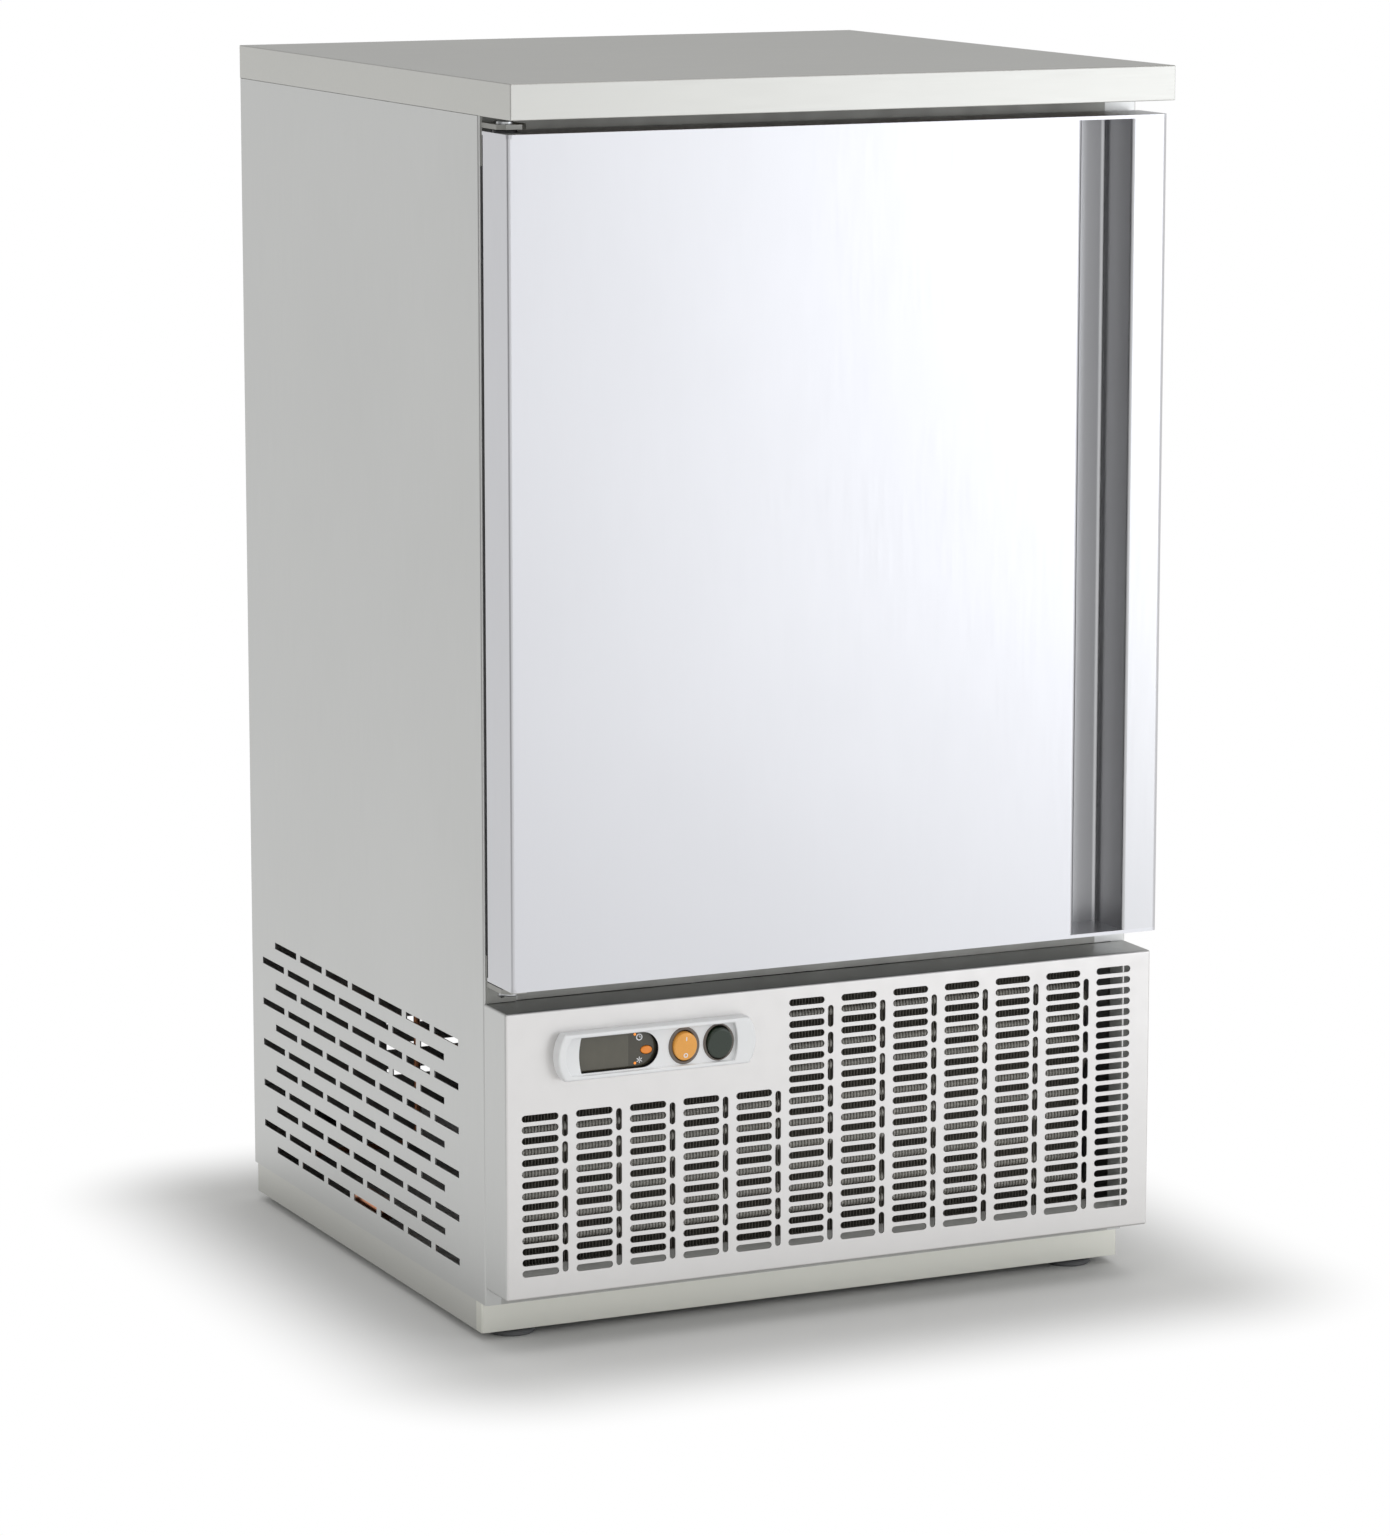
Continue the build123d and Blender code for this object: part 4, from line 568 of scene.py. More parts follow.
def bent(points, bend, steps=8):
    """A route along straight runs with a round bend at each corner."""
    corners = [Vector(point) for point in points]
    route = [corners[0]]
    for before, corner, after in zip(corners, corners[1:], corners[2:]):
        come, leave = (corner - before).normalized(), (after - corner).normalized()
        turn = come.angle(leave)
        inward = (leave - come * leave.dot(come)).normalized()
        start = corner - come * bend * math.tan(turn / 2)
        for number in range(steps + 1):
            part = turn * number / steps
            route.append(start + come * bend * math.sin(part) + inward * bend * (1 - math.cos(part)))
    route.append(corners[-1])
    return route


# Outlines of (x, z)

def moved(points, x, z):
    """An outline in another place."""
    return [(x + u, z + w) for u, w in points]


def oval(width, height, x=0.0, z=0.0, steps=48):
    """An oval or a circle about a middle."""
    turns = [2 * math.pi * number / steps for number in range(steps)]
    return [(x + width / 2 * math.cos(turn), z + height / 2 * math.sin(turn)) for turn in turns]


def rectangle(x, z):
    """A rectangle between two places across and two up."""
    return [(x[0], z[0]), (x[1], z[0]), (x[1], z[1]), (x[0], z[1])]


def inset_box(low, high, inset):
    """The outline of a box seen from the front, drawn in by an inset."""
    return rectangle((low.x + inset, high.x - inset), (low.z + inset, high.z - inset))


def stadium(long, short, upright=False, steps=6):
    """A slot with half-round ends."""
    radius, half = short / 2, (long - short) / 2
    points = []
    for side, start in ((1, -math.pi / 2), (-1, math.pi / 2)):
        for number in range(steps + 1):
            turn = start + math.pi * number / steps
            points.append((side * half + radius * math.cos(turn), radius * math.sin(turn)))
    return [(-w, u) for u, w in points] if upright else points


def bow(middle_x, half, bulge, steps=24):
    """An end that bows outwards by a bulge, from its lower to its upper corner, or back if negative."""
    size = abs(bulge)
    radius = (half * half + size * size) / (2 * size)
    reach = math.asin(min(half / radius, 1.0))
    side = 1 if bulge > 0 else -1
    centre = middle_x + side * (size - radius)
    turns = [(-1 + 2 * number / steps) * reach * side for number in range(steps + 1)]
    return [(centre + side * radius * math.cos(turn), radius * math.sin(turn)) for turn in turns]


def bowed(left, right, height, bulge_left, bulge_right):
    """Straight above and below, with ends that bow outwards."""
    return bow(right, height / 2, bulge_right) + bow(left, height / 2, -bulge_left)


# Folded and pierced sheet

FLAT = 0.99
FOLD_STEPS = 4
SCREW_PROFILE = ((0.0, -0.1), (1.0, -0.1), (1.0, 0.35), (0.72, 0.85), (0.42, 1.0), (0.30, 1.0), (0.16, 0.25),
                 (0.0, 0.25))
SCREW_DOME = 0.55


def loop(shape, points, place):
    """A closed loop of edges through points that a function puts in place."""
    corners = [shape.verts.new(place(u, w)) for u, w in points]
    return [shape.edges.new(pair) for pair in zip(corners, corners[1:] + corners[:1])]


def quarter(radius, steps=4):
    """A rounded edge as (inset, depth) pairs, from the wall to the face."""
    turns = [math.pi / 2 * number / steps for number in range(steps + 1)]
    return [(radius * (1 - math.cos(turn)), radius * (1 - math.sin(turn))) for turn in turns]


def loft(shape, rings):
    """Walls from ring to ring, each an outline at a depth; hands over the first and last ring's edges."""
    rings = [[(u, y, w) for u, w in outline] for outline, y in rings]
    corners = [shape.verts.new(point) for point in rings[0]]
    edges = [shape.edges.new(pair) for pair in zip(corners, corners[1:] + corners[:1])]
    first = list(edges)
    for ring in rings[1:]:
        made = bmesh.ops.extrude_edge_only(shape, edges=edges)["geom"]
        edges = [part for part in made if isinstance(part, bmesh.types.BMEdge)]
        fresh = {part for part in made if isinstance(part, bmesh.types.BMVert)}
        follower = {}
        for corner in fresh:
            for edge in corner.link_edges:
                if edge.other_vert(corner) not in fresh:
                    follower[edge.other_vert(corner)] = corner
        corners = [follower[corner] for corner in corners]
        for corner, point in zip(corners, ring):
            corner.co = point
    return first, edges


def fill(shape, edges):
    """Closes a flat outline and leaves its holes open."""
    bmesh.ops.triangle_fill(shape, use_beauty=True, use_dissolve=False, edges=edges)


def pierce(shape, face, outlines, place):
    """Swaps a flat face for the same face with a hole along each outline."""
    edges = list(face.edges)
    bmesh.ops.delete(shape, geom=[face], context="FACES_ONLY")
    for outline in outlines:
        edges += loop(shape, outline, place)
    fill(shape, edges)


def thickened(shape, wall, inside):
    """A closed sheet from an open surface; the wall grows towards a point inside."""
    bmesh.ops.remove_doubles(shape, verts=shape.verts, dist=DOUBLES)
    bmesh.ops.recalc_face_normals(shape, faces=shape.faces)
    largest = max(shape.faces, key=lambda face: face.calc_area())
    if largest.normal.dot(Vector(inside) - largest.calc_center_median()) > 0:
        bmesh.ops.reverse_faces(shape, faces=shape.faces)
    bmesh.ops.solidify(shape, geom=shape.faces[:], thickness=wall)
    return mesh_of(shape)


def folded(points, radii, wall, heights, steps=5):
    """A sheet with upright folds: its outside on the points, its wall to their left."""
    low, high = heights
    shape = bmesh.new()
    corners = [shape.verts.new((x, y, low)) for x, y in points]
    edges = [shape.edges.new(pair) for pair in zip(corners, corners[1:])]
    raised = bmesh.ops.extrude_edge_only(shape, edges=edges)["geom"]
    bmesh.ops.translate(shape, vec=(0, 0, high - low),
                        verts=[part for part in raised if isinstance(part, bmesh.types.BMVert)])
    for point, radius in zip(points[1:-1], radii):
        fold = [edge for edge in shape.edges
                if all((corner.co.xy - Vector(point)).length < SLIVERS for corner in edge.verts)]
        rounded(shape, fold, radius, steps)
    start, end = Vector(points[0]), Vector(points[1])
    left = Vector((start.y - end.y, end.x - start.x)).normalized()
    first = min(shape.faces, key=lambda face: (face.calc_center_median().xy - (start + end) / 2).length)
    if first.normal.xy.dot(left) > 0:
        bmesh.ops.reverse_faces(shape, faces=shape.faces)
    bmesh.ops.solidify(shape, geom=shape.faces[:], thickness=wall)
    return mesh_of(shape)


def folded_box(low, high, missing, radius):
    """A box without its missing sides, its folds rounded; hands over its flat front face too."""
    shape = cube_between(low, high)
    bmesh.ops.delete(shape, geom=[face for face in shape.faces if missing(face.normal)], context="FACES")
    rounded(shape, [edge for edge in shape.edges if len(edge.link_faces) == 2], radius, FOLD_STEPS)
    fronts = [face for face in shape.faces if face.normal.y < -FLAT]
    return shape, max(fronts, key=lambda face: face.calc_area())


def screw_head(centre, axis, radius):
    """A domed head with a round recess, standing on a surface."""
    return turned(scaled(SCREW_PROFILE, radius, radius * SCREW_DOME), centre, axis, steps=12)


# Grille

SLOT_COLUMNS = 12
SLOT_ROWS = 23
SLOT_SHORT_ROWS = 15
SHORT_COLUMNS = 5
UPRIGHT_ROWS = 9
UPRIGHT_SHORT_ROWS = 6
FIRST_COLUMN = 0.0305
FIRST_ROW = 0.0221
UPRIGHT_OFFSET = 0.0222
UPRIGHT_FIRST = 0.0297
GRILLE_LIP = 0.015
GRILLE_SEAM = 0.0012
CUTOUT_ROOM = 0.0005
SWITCHES = ("power", "defrost")


def grille_slots(low):
    """The outlines of every slot, in the plane of the grille's front."""
    level = stadium(sizes().slot_length, sizes().slot_height)
    upright = stadium(sizes().upright_length, sizes().upright_width, upright=True)
    outlines = []
    for column in range(SLOT_COLUMNS):
        short = column < SHORT_COLUMNS
        x = low.x + FIRST_COLUMN + column * sizes().column_pitch
        for row in range(SLOT_SHORT_ROWS if short else SLOT_ROWS):
            outlines.append(moved(level, x, low.z + FIRST_ROW + row * sizes().row_pitch))
        if column < SLOT_COLUMNS - 1:
            for row in range(UPRIGHT_SHORT_ROWS if short else UPRIGHT_ROWS):
                z = low.z + UPRIGHT_FIRST + row * sizes().upright_pitch
                outlines.append(moved(upright, x + UPRIGHT_OFFSET, z))
    return outlines


def control_holes():
    """The holes in the grille's sheet behind the bezel, for the housing and the two switches."""
    holes = [inset_box(*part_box("controller_body"), -CUTOUT_ROOM)]
    for name in SWITCHES:
        low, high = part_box(f"{name}_switch")
        holes.append(rectangle((low.x + 2 * CUTOUT_ROOM, high.x - 2 * CUTOUT_ROOM), (low.z, high.z)))
    return holes


class FROSTER_OT_grille(bpy.types.Operator):
    """Fold the slotted grille"""

    bl_idname = "froster.grille"
    bl_label = "Grille"

    def execute(self, context):
        low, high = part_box("grille_panel")
        high.y -= GRILLE_SEAM
        shape, front = folded_box(low, high, lambda normal: normal.y > 0.5, sizes().bend)
        pierce(shape, front, grille_slots(low) + control_holes(), lambda u, w: (u, low.y, w))
        lip = low.y + GRILLE_LIP
        geometry = shape.verts[:] + shape.edges[:] + shape.faces[:]
        bmesh.ops.bisect_plane(shape, geom=geometry, plane_co=(0, lip, 0), plane_no=(0, 1, 0))
        spare = [face for face in shape.faces if face.normal.z < -FLAT and face.calc_center_median().y > lip]
        bmesh.ops.delete(shape, geom=spare, context="FACES")
        mesh = thickened(shape, sizes().sheet, (low + high) / 2)
        grille = finished("slotted_grille", mesh, "grille_steel", "grille", "grille_panel")
        # Painted shade: the grille's returns and slot walls, which face sideways or up and down, wear the
        # darker side-panel steel instead of the grille's own finish.
        refinish(grille, "panel", lambda face: abs(face.normal.y) < 0.7)
        return {"FINISHED"}


# Controls

BEZEL_BULGE = 0.0062
BEZEL_WALL = 0.0008
BEZEL_EDGE = 0.0016
POCKET_EDGE = 0.0009
POCKET_HEIGHT = 0.0321
POCKET_DEPTH = 0.0046
POCKET_LEFT = 0.0064
POCKET_RIGHT = 0.0135
POCKET_BULGE = 0.0026
LENS_INSET = 0.0158
LENS_BULGE = 0.002
LENS_STRAIGHT = 0.0545
LENS_EDGE = 0.0004
SWITCH_HOLE = (0.0265, 0.030)
KEY_CLEAR = 0.0003
KEY_EDGE = 0.0009

MARK_PROUD = 0.00025
DISPLAY_END = 0.0463
MARK_LINE = 0.0007
SYMBOL_X = -0.0130
CLOCK_RISE = 0.0098
CLOCK_RING = (0.0058, 0.0040)
HAND_LENGTH = 0.0019
HAND_OFFSET = 0.0006
CROSS_RISE = -0.0094
CROSS_SPAN = 0.0056
CROSS_TURNS = (math.pi / 6, math.pi / 2, 5 * math.pi / 6)
LAMP_X = -0.0170
LAMP_RISE = (0.0125, -0.0118)
LAMP_WIDTH = 0.0021

COLLAR_EDGE = 0.0009
WELL_CLEAR = 0.0003
BARREL_SHARE = 0.98
ROCKER_TILT = math.radians(7)
ROCKER_TALL = {"power": 0.024, "defrost": 0.0264}
ROCKER_LOOKS = {"power": ("amber", "orange_plastic"), "defrost": ("green", "green_plastic")}
ROCKER_THICK = 0.008
ROCKER_EDGE = 0.0016
MARK_RISE = 0.0072
ON_MARK = (0.0009, 0.0036)
OFF_MARK = (0.0040, 0.0024)


def control_middle():
    """The middle of the bezel: X, the grille's face, Z."""
    low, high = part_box("control_bezel")
    return (low.x + high.x) / 2, high.y, (low.z + high.z) / 2


def bezel_half():
    """Half of the bezel's length between its corners, without its bowed ends."""
    low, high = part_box("control_bezel")
    return (high.x - low.x) / 2 - BEZEL_BULGE


def lens_outline():
    """The window's outline, in its place."""
    x, _, z = control_middle()
    left = -bezel_half() + LENS_INSET
    low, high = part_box("controller_lens")
    height = high.z - low.z
    return moved(bowed(left, left + LENS_STRAIGHT, height, LENS_BULGE, height / 2), x, z)


def bezel_mesh():
    """A moulding with rounded rims round a sunk pocket, pierced for the window and the switches."""
    low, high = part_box("control_bezel")
    x, face, z = control_middle()
    half, height = bezel_half(), high.z - low.z

    def outer(inset):
        """The bezel's outline, drawn in."""
        return moved(bowed(-half + inset, half - inset, height - 2 * inset, BEZEL_BULGE, BEZEL_BULGE), x, z)

    def pocket(grow):
        """The pocket's outline, let out."""
        outline = bowed(-half + POCKET_LEFT - grow, half - POCKET_RIGHT + grow, POCKET_HEIGHT + 2 * grow,
                        BEZEL_BULGE, POCKET_BULGE)
        return moved(outline, x, z)

    floor = low.y + POCKET_DEPTH
    rings = [(outer(0.0), face)]
    rings += [(outer(inset), low.y + depth) for inset, depth in quarter(BEZEL_EDGE)]
    rings += [(pocket(inset), low.y + depth) for inset, depth in reversed(quarter(POCKET_EDGE))]
    rings.append((pocket(0.0), floor))
    shape = bmesh.new()
    edges = loft(shape, rings)[1]
    holes = [lens_outline()]
    for name in SWITCHES:
        low_switch, high_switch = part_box(f"{name}_switch")
        holes.append(oval(*SWITCH_HOLE, (low_switch.x + high_switch.x) / 2, z))
    for outline in holes:
        edges += loop(shape, outline, lambda u, w: (u, floor, w))
    fill(shape, edges)
    return thickened(shape, BEZEL_WALL, (x, face, z))


class FROSTER_OT_bezel(bpy.types.Operator):
    """Mould the control bezel"""

    bl_idname = "froster.bezel"
    bl_label = "Control bezel"

    def execute(self, context):
        finished("moulded_bezel", bezel_mesh(), "white_plastic", "white", "control_bezel")
        return {"FINISHED"}


def lens_mesh():
    """The window with a rounded edge and the key's hole."""
    low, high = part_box("controller_lens")
    key_low, key_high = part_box("set_key")
    hole = oval(key_high.x - key_low.x + 2 * KEY_CLEAR, key_high.z - key_low.z + 2 * KEY_CLEAR,
                (key_low.x + key_high.x) / 2, (key_low.z + key_high.z) / 2)
    return plate([lens_outline(), hole], (high.y, low.y), LENS_EDGE)


def ring_mark(diameters, x, z, depths):
    """A flat ring."""
    return plate([oval(size, size, x, z, 24) for size in diameters], depths)


def bar_mark(width, height, x, z, depths, turn=0.0):
    """A short stroke, turned about its middle."""
    stroke = stadium(max(width, height), min(width, height), upright=height > width, steps=4)
    cos, sin = math.cos(turn), math.sin(turn)
    stroke = [(u * cos - w * sin, u * sin + w * cos) for u, w in stroke]
    return plate([moved(stroke, x, z)], depths)


class FROSTER_OT_controller(bpy.types.Operator):
    """Make the controller's window, its plain printed symbols and its key"""

    bl_idname = "froster.controller"
    bl_label = "Controller"

    def execute(self, context):
        x, _, z = control_middle()
        low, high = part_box("controller_lens")
        finished("smoked_window", lens_mesh(), "dark_window", "window", "controller_lens")
        surface = (low.y + MARK_PROUD / 2, low.y - MARK_PROUD)
        left = low.x + 2 * LENS_EDGE + LENS_BULGE
        display = rectangle((left, low.x + DISPLAY_END), (low.z + 3 * LENS_EDGE, high.z - 3 * LENS_EDGE))
        display = plate([display], (low.y + MARK_PROUD / 2, low.y - MARK_PROUD / 4))
        finished("display_area", display, "dark_window", "display")
        middle, clock = x + SYMBOL_X, z + CLOCK_RISE
        symbols = [ring_mark(CLOCK_RING, middle, clock, surface),
                   bar_mark(MARK_LINE, HAND_LENGTH, middle, clock + HAND_OFFSET, surface),
                   bar_mark(HAND_LENGTH, MARK_LINE, middle + HAND_OFFSET, clock, surface)]
        for turn in CROSS_TURNS:
            symbols.append(bar_mark(CROSS_SPAN, MARK_LINE, middle, z + CROSS_RISE, surface, turn))
        finished("window_symbols", joined(*symbols), "white_plastic", "mark")
        lamps = [plate([oval(LAMP_WIDTH, LAMP_WIDTH, x + LAMP_X, z + rise, 20)], surface)
                 for rise in LAMP_RISE]
        finished("signal_lamps", joined(*lamps), "orange_plastic", "glyph")
        low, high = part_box("set_key")
        outline = oval(high.x - low.x, high.z - low.z, (low.x + high.x) / 2, (low.z + high.z) / 2, 40)
        key = plate([outline], (high.y, low.y), KEY_EDGE, 3)
        finished("oval_key", key, "orange_plastic", "orange", "set_key", body="set_key")
        return {"FINISHED"}


def collar_mesh(name):
    """An oval collar with a rounded rim, its well and the barrel behind the sheet."""
    low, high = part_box(f"{name}_switch")
    rocker_low, rocker_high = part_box(f"{name}_rocker")
    place = ((low.x + high.x) / 2, (low.z + high.z) / 2)
    well = (rocker_high.x - rocker_low.x + 2 * WELL_CLEAR, rocker_high.z - rocker_low.z + 2 * COLLAR_EDGE)
    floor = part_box("control_bezel")[0].y + POCKET_DEPTH
    across, tall = high.x - low.x, high.z - low.z
    barrel = [size * BARREL_SHARE for size in SWITCH_HOLE]
    rings = [(oval(*barrel, *place), high.y), (oval(*barrel, *place), floor),
             (oval(across, tall, *place), floor)]
    rings += [(oval(across - 2 * inset, tall - 2 * inset, *place), low.y + depth)
              for inset, depth in quarter(COLLAR_EDGE)]
    rings += [(oval(well[0] + 2 * inset, well[1] + 2 * inset, *place), low.y + depth)
              for inset, depth in reversed(quarter(COLLAR_EDGE / 2))]
    rings.append((oval(*well, *place), floor + ROCKER_THICK))
    shape = bmesh.new()
    for edges in loft(shape, rings):
        fill(shape, edges)
    return mesh_of(shape)


def rocker_meshes(name):
    """An oval rocker with a rounded rim, tilted as at rest, and the power rocker's raised marks."""
    low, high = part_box(f"{name}_rocker")
    centre = Vector(((low.x + high.x) / 2, (low.y + high.y) / 2, (low.z + high.z) / 2))
    face, back = -ROCKER_THICK / 2, ROCKER_THICK / 2
    cap = plate([oval(high.x - low.x, ROCKER_TALL[name])], (back, face), ROCKER_EDGE, 4)
    marks = []
    if name == "power":
        proud = (face + MARK_PROUD, face - MARK_PROUD)
        marks = [bar_mark(*ON_MARK, 0.0, MARK_RISE, proud), ring_mark(OFF_MARK, 0.0, -MARK_RISE, proud)]
    for mesh in [cap] + marks:
        mesh.transform(Matrix.Translation(centre) @ Matrix.Rotation(ROCKER_TILT, 4, "X"))
    return cap, marks


class FROSTER_OT_switches(bpy.types.Operator):
    """Make the two oval switches with their rockers"""

    bl_idname = "froster.switches"
    bl_label = "Switches"

    def execute(self, context):
        for name in SWITCHES:
            rocker = f"{name}_rocker"
            finish, slot = ROCKER_LOOKS[name]
            finished(f"{name}_collar", collar_mesh(name), "collar_plastic", "collar", f"{name}_switch")
            cap, marks = rocker_meshes(name)
            finished(f"{name}_rocker_cap", cap, slot, finish, rocker, body=rocker)
            if marks:
                finished(f"{name}_marks", joined(*marks), "white_plastic", "mark", body=rocker)
        return {"FINISHED"}


# Condenser behind the grille

FIN = 0.0006
END_PLATE = 0.0015
END_ROOM = 0.018
TUBE_SHARE = 0.92
TUBE_BEHIND = 0.0005
BEND_STEPS = 8
DISCHARGE = 0.004

# The grille's slot rows, from the top, that show a tube, and how far the view drops from slot to tube
LIT_ROWS = (1, 4, 6, 9, 11, 13, 15, 17, 19)
SIGHT_DROP = 0.017


def fin_stack(low, high, pitch):
    """Thin upright fins between two end plates, to fill a box."""
    fins = bmesh.new()
    count = round((high.x - low.x - END_PLATE) / pitch)
    middle = (low + high) / 2
    for number in range(count + 1):
        thick = END_PLATE if number in (0, count) else FIN
        made = bmesh.ops.create_cube(fins, size=1.0)["verts"]
        bmesh.ops.scale(fins, vec=(thick, high.y - low.y, high.z - low.z), verts=made)
        x = low.x + END_PLATE / 2 + number * (high.x - low.x - END_PLATE) / count
        bmesh.ops.translate(fins, vec=(x, middle.y, middle.z), verts=made)
    return mesh_of(fins)


def coil_depth():
    """How deep the condenser's tubes lie, just behind the front of its fins."""
    low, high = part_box("condenser_tubes")
    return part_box("condenser_fins")[0].y + (high.y - low.y) / 2 + TUBE_BEHIND


def serpentine(edges, depth, levels):
    """A route to and fro between two edges, level by level, with a round bend at each turn."""
    left, right = edges
    route = []
    for row, z in enumerate(levels):
        start, end = (left, right) if row % 2 == 0 else (right, left)
        route += [(start, depth, z), (end, depth, z)]
        if row + 1 < len(levels):
            radius, side = (levels[row + 1] - z) / 2, 1 if row % 2 == 0 else -1
            for number in range(1, BEND_STEPS):
                turn = math.pi * number / BEND_STEPS
                route.append((end + side * radius * math.sin(turn), depth, z + radius * (1 - math.cos(turn))))
    return route


class FROSTER_OT_condenser(bpy.types.Operator):
    """Make the condenser: thin dark fins between end plates, and tubes painted pale as a painted highlight,
    with dark return bends
    """

    bl_idname = "froster.condenser"
    bl_label = "Condenser"

    def execute(self, context):
        low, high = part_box("condenser_fins")
        fins = fin_stack(low, high, sizes().fin_pitch)
        finished("fin_pack", fins, "fin_aluminium", "dark_fins", "condenser_fins")
        tube_low, tube_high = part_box("condenser_tubes")
        radius = (tube_high.y - tube_low.y) / 2 * TUBE_SHARE
        lowest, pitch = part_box("grille_panel")[0].z + FIRST_ROW, sizes().row_pitch
        levels = [lowest + (SLOT_ROWS - 1 - row) * pitch - SIGHT_DROP for row in reversed(LIT_ROWS)]
        levels.insert(0, middle_of("filter_drier").z)
        depth = coil_depth()
        route = serpentine((tube_low.x + END_ROOM, tube_high.x - END_ROOM), depth, levels)
        route[0] = (low.x, depth, levels[0])
        route[-1] = (low.x + END_PLATE, depth, levels[-1])
        route.append((low.x, depth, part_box("discharge_pipe")[1].z - DISCHARGE))
        tube = wire(route, radius, 12)
        # Painted highlight: the straight runs wear the pale finish; the return bends keep the coil's dark
        # paint.
        coil = finished("condenser_coil", tube, "copper_tube", "pale_tube", "condenser_tubes")
        refinish(coil, "dark_fins", lambda face: not low.x < face.center.x < high.x)
        return {"FINISHED"}


# Worktop and door

WORKTOP_RETURN = 0.018
WORKTOP_EDGE = 0.0009
CREASE = math.radians(60)
DOOR_EDGE = 0.0026
DOOR_LIP_EDGE = 0.006
DOOR_RETURN = 0.015
RECESS_CORNER = 0.005
RECESS_DEPTH = 0.0465
RECESS_WIDTH = 0.0458
RECESS_SEAM = 0.020


class FROSTER_OT_worktop(bpy.types.Operator):
    """Fold the worktop: turned down all round and back under its board"""

    bl_idname = "froster.worktop"
    bl_label = "Worktop"

    def execute(self, context):
        low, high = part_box("worktop")
        shape = cube_between(low, high)
        under = min(shape.faces, key=lambda face: face.calc_center_median().z)
        margin = sizes().sheet + WORKTOP_RETURN
        opening = rectangle((low.x + margin, high.x - margin), (low.y + margin, high.y - margin))
        pierce(shape, under, [opening], lambda u, w: (u, w, low.z))
        bmesh.ops.recalc_face_normals(shape, faces=shape.faces)
        folds = [edge for edge in shape.edges
                 if len(edge.link_faces) == 2 and edge.calc_face_angle() > CREASE]
        rounded(shape, folds, WORKTOP_EDGE, 3)
        mesh = thickened(shape, sizes().sheet, (low + high) / 2)
        finished("folded_worktop", mesh, "stainless_steel", "worktop", "worktop")
        return {"FINISHED"}


class FROSTER_OT_door(bpy.types.Operator):
    """Fold the door's skin, and its grip with the recess between them"""

    bl_idname = "froster.door"
    bl_label = "Door"

    def execute(self, context):
        low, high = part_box("door_caps")
        left, right, front, back = low.x, high.x, low.y, high.y
        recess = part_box("door_grip")[0].x
        lip = recess + RECESS_WIDTH
        seam, floor = front + RECESS_SEAM, front + RECESS_DEPTH
        low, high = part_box("door_skin")
        heights = (low.z, high.z)
        sheet, bend = sizes().sheet, sizes().bend
        skin = [(left + DOOR_RETURN, back), (left, back), (left, front), (recess, front), (recess, seam)]
        mesh = folded(skin, [bend, DOOR_EDGE, DOOR_LIP_EDGE], sheet, heights)
        finished("folded_door_front", mesh, "stainless_steel", "door", "door_skin", body=DOOR)
        grip = [(recess, seam), (recess, floor), (lip, floor), (lip, front), (right, front), (right, back),
                (right - DOOR_RETURN, back)]
        mesh = folded(grip, [RECESS_CORNER, RECESS_CORNER, DOOR_EDGE, DOOR_LIP_EDGE, bend], sheet, heights)
        finished("folded_grip", mesh, "stainless_steel", "grip", "door_grip", body=DOOR)
        return {"FINISHED"}


# Plinth and feet

LIP = 0.0108
PAD_EDGE = 0.0012
PAD_THICK = 0.005
HEX_RADIUS = 0.0095
HEX_THICK = 0.008
STUD_RADIUS = 0.005
THREAD_PITCH = 0.0015
THREAD_DEPTH = 0.0006


def band_mesh(points, heights, lips):
    """A folded band between two heights, with a lip inside along its foot and its head."""
    sheet, bend = sizes().sheet, sizes().bend
    parts = [folded(points, [bend, bend], sheet, heights)]
    for (left, right), (front, back) in lips:
        for level in (heights[0], heights[1] - sheet):
            parts.append(block((left, front, level), (right, back, level + sheet)))
    return joined(*parts)


class FROSTER_OT_plinth(bpy.types.Operator):
    """Fold the plinth's front and its skirts"""

    bl_idname = "froster.plinth"
    bl_label = "Plinth"

    def execute(self, context):
        sheet = sizes().sheet
        low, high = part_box("plinth_front")
        points = [(low.x, high.y), (low.x, low.y), (high.x, low.y), (high.x, high.y)]
        lips = [((low.x + sheet, high.x - sheet), (low.y + sheet, low.y + sheet + LIP))]
        band = band_mesh(points, (low.z, high.z), lips)
        finished("folded_plinth_front", band, "stainless_steel", "plinth", "plinth_front")
        low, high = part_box("plinth_skirts")
        points = [(high.x, low.y), (high.x, high.y), (low.x, high.y), (low.x, low.y)]
        lips = [((low.x + sheet, low.x + sheet + LIP), (low.y, high.y - sheet)),
                ((high.x - sheet - LIP, high.x - sheet), (low.y, high.y - sheet)),
                ((low.x + sheet + LIP, high.x - sheet - LIP), (high.y - sheet - LIP, high.y - sheet))]
        band = band_mesh(points, (low.z, high.z), lips)
        finished("folded_skirts", band, "stainless_steel", "skirt", "plinth_skirts")
        return {"FINISHED"}


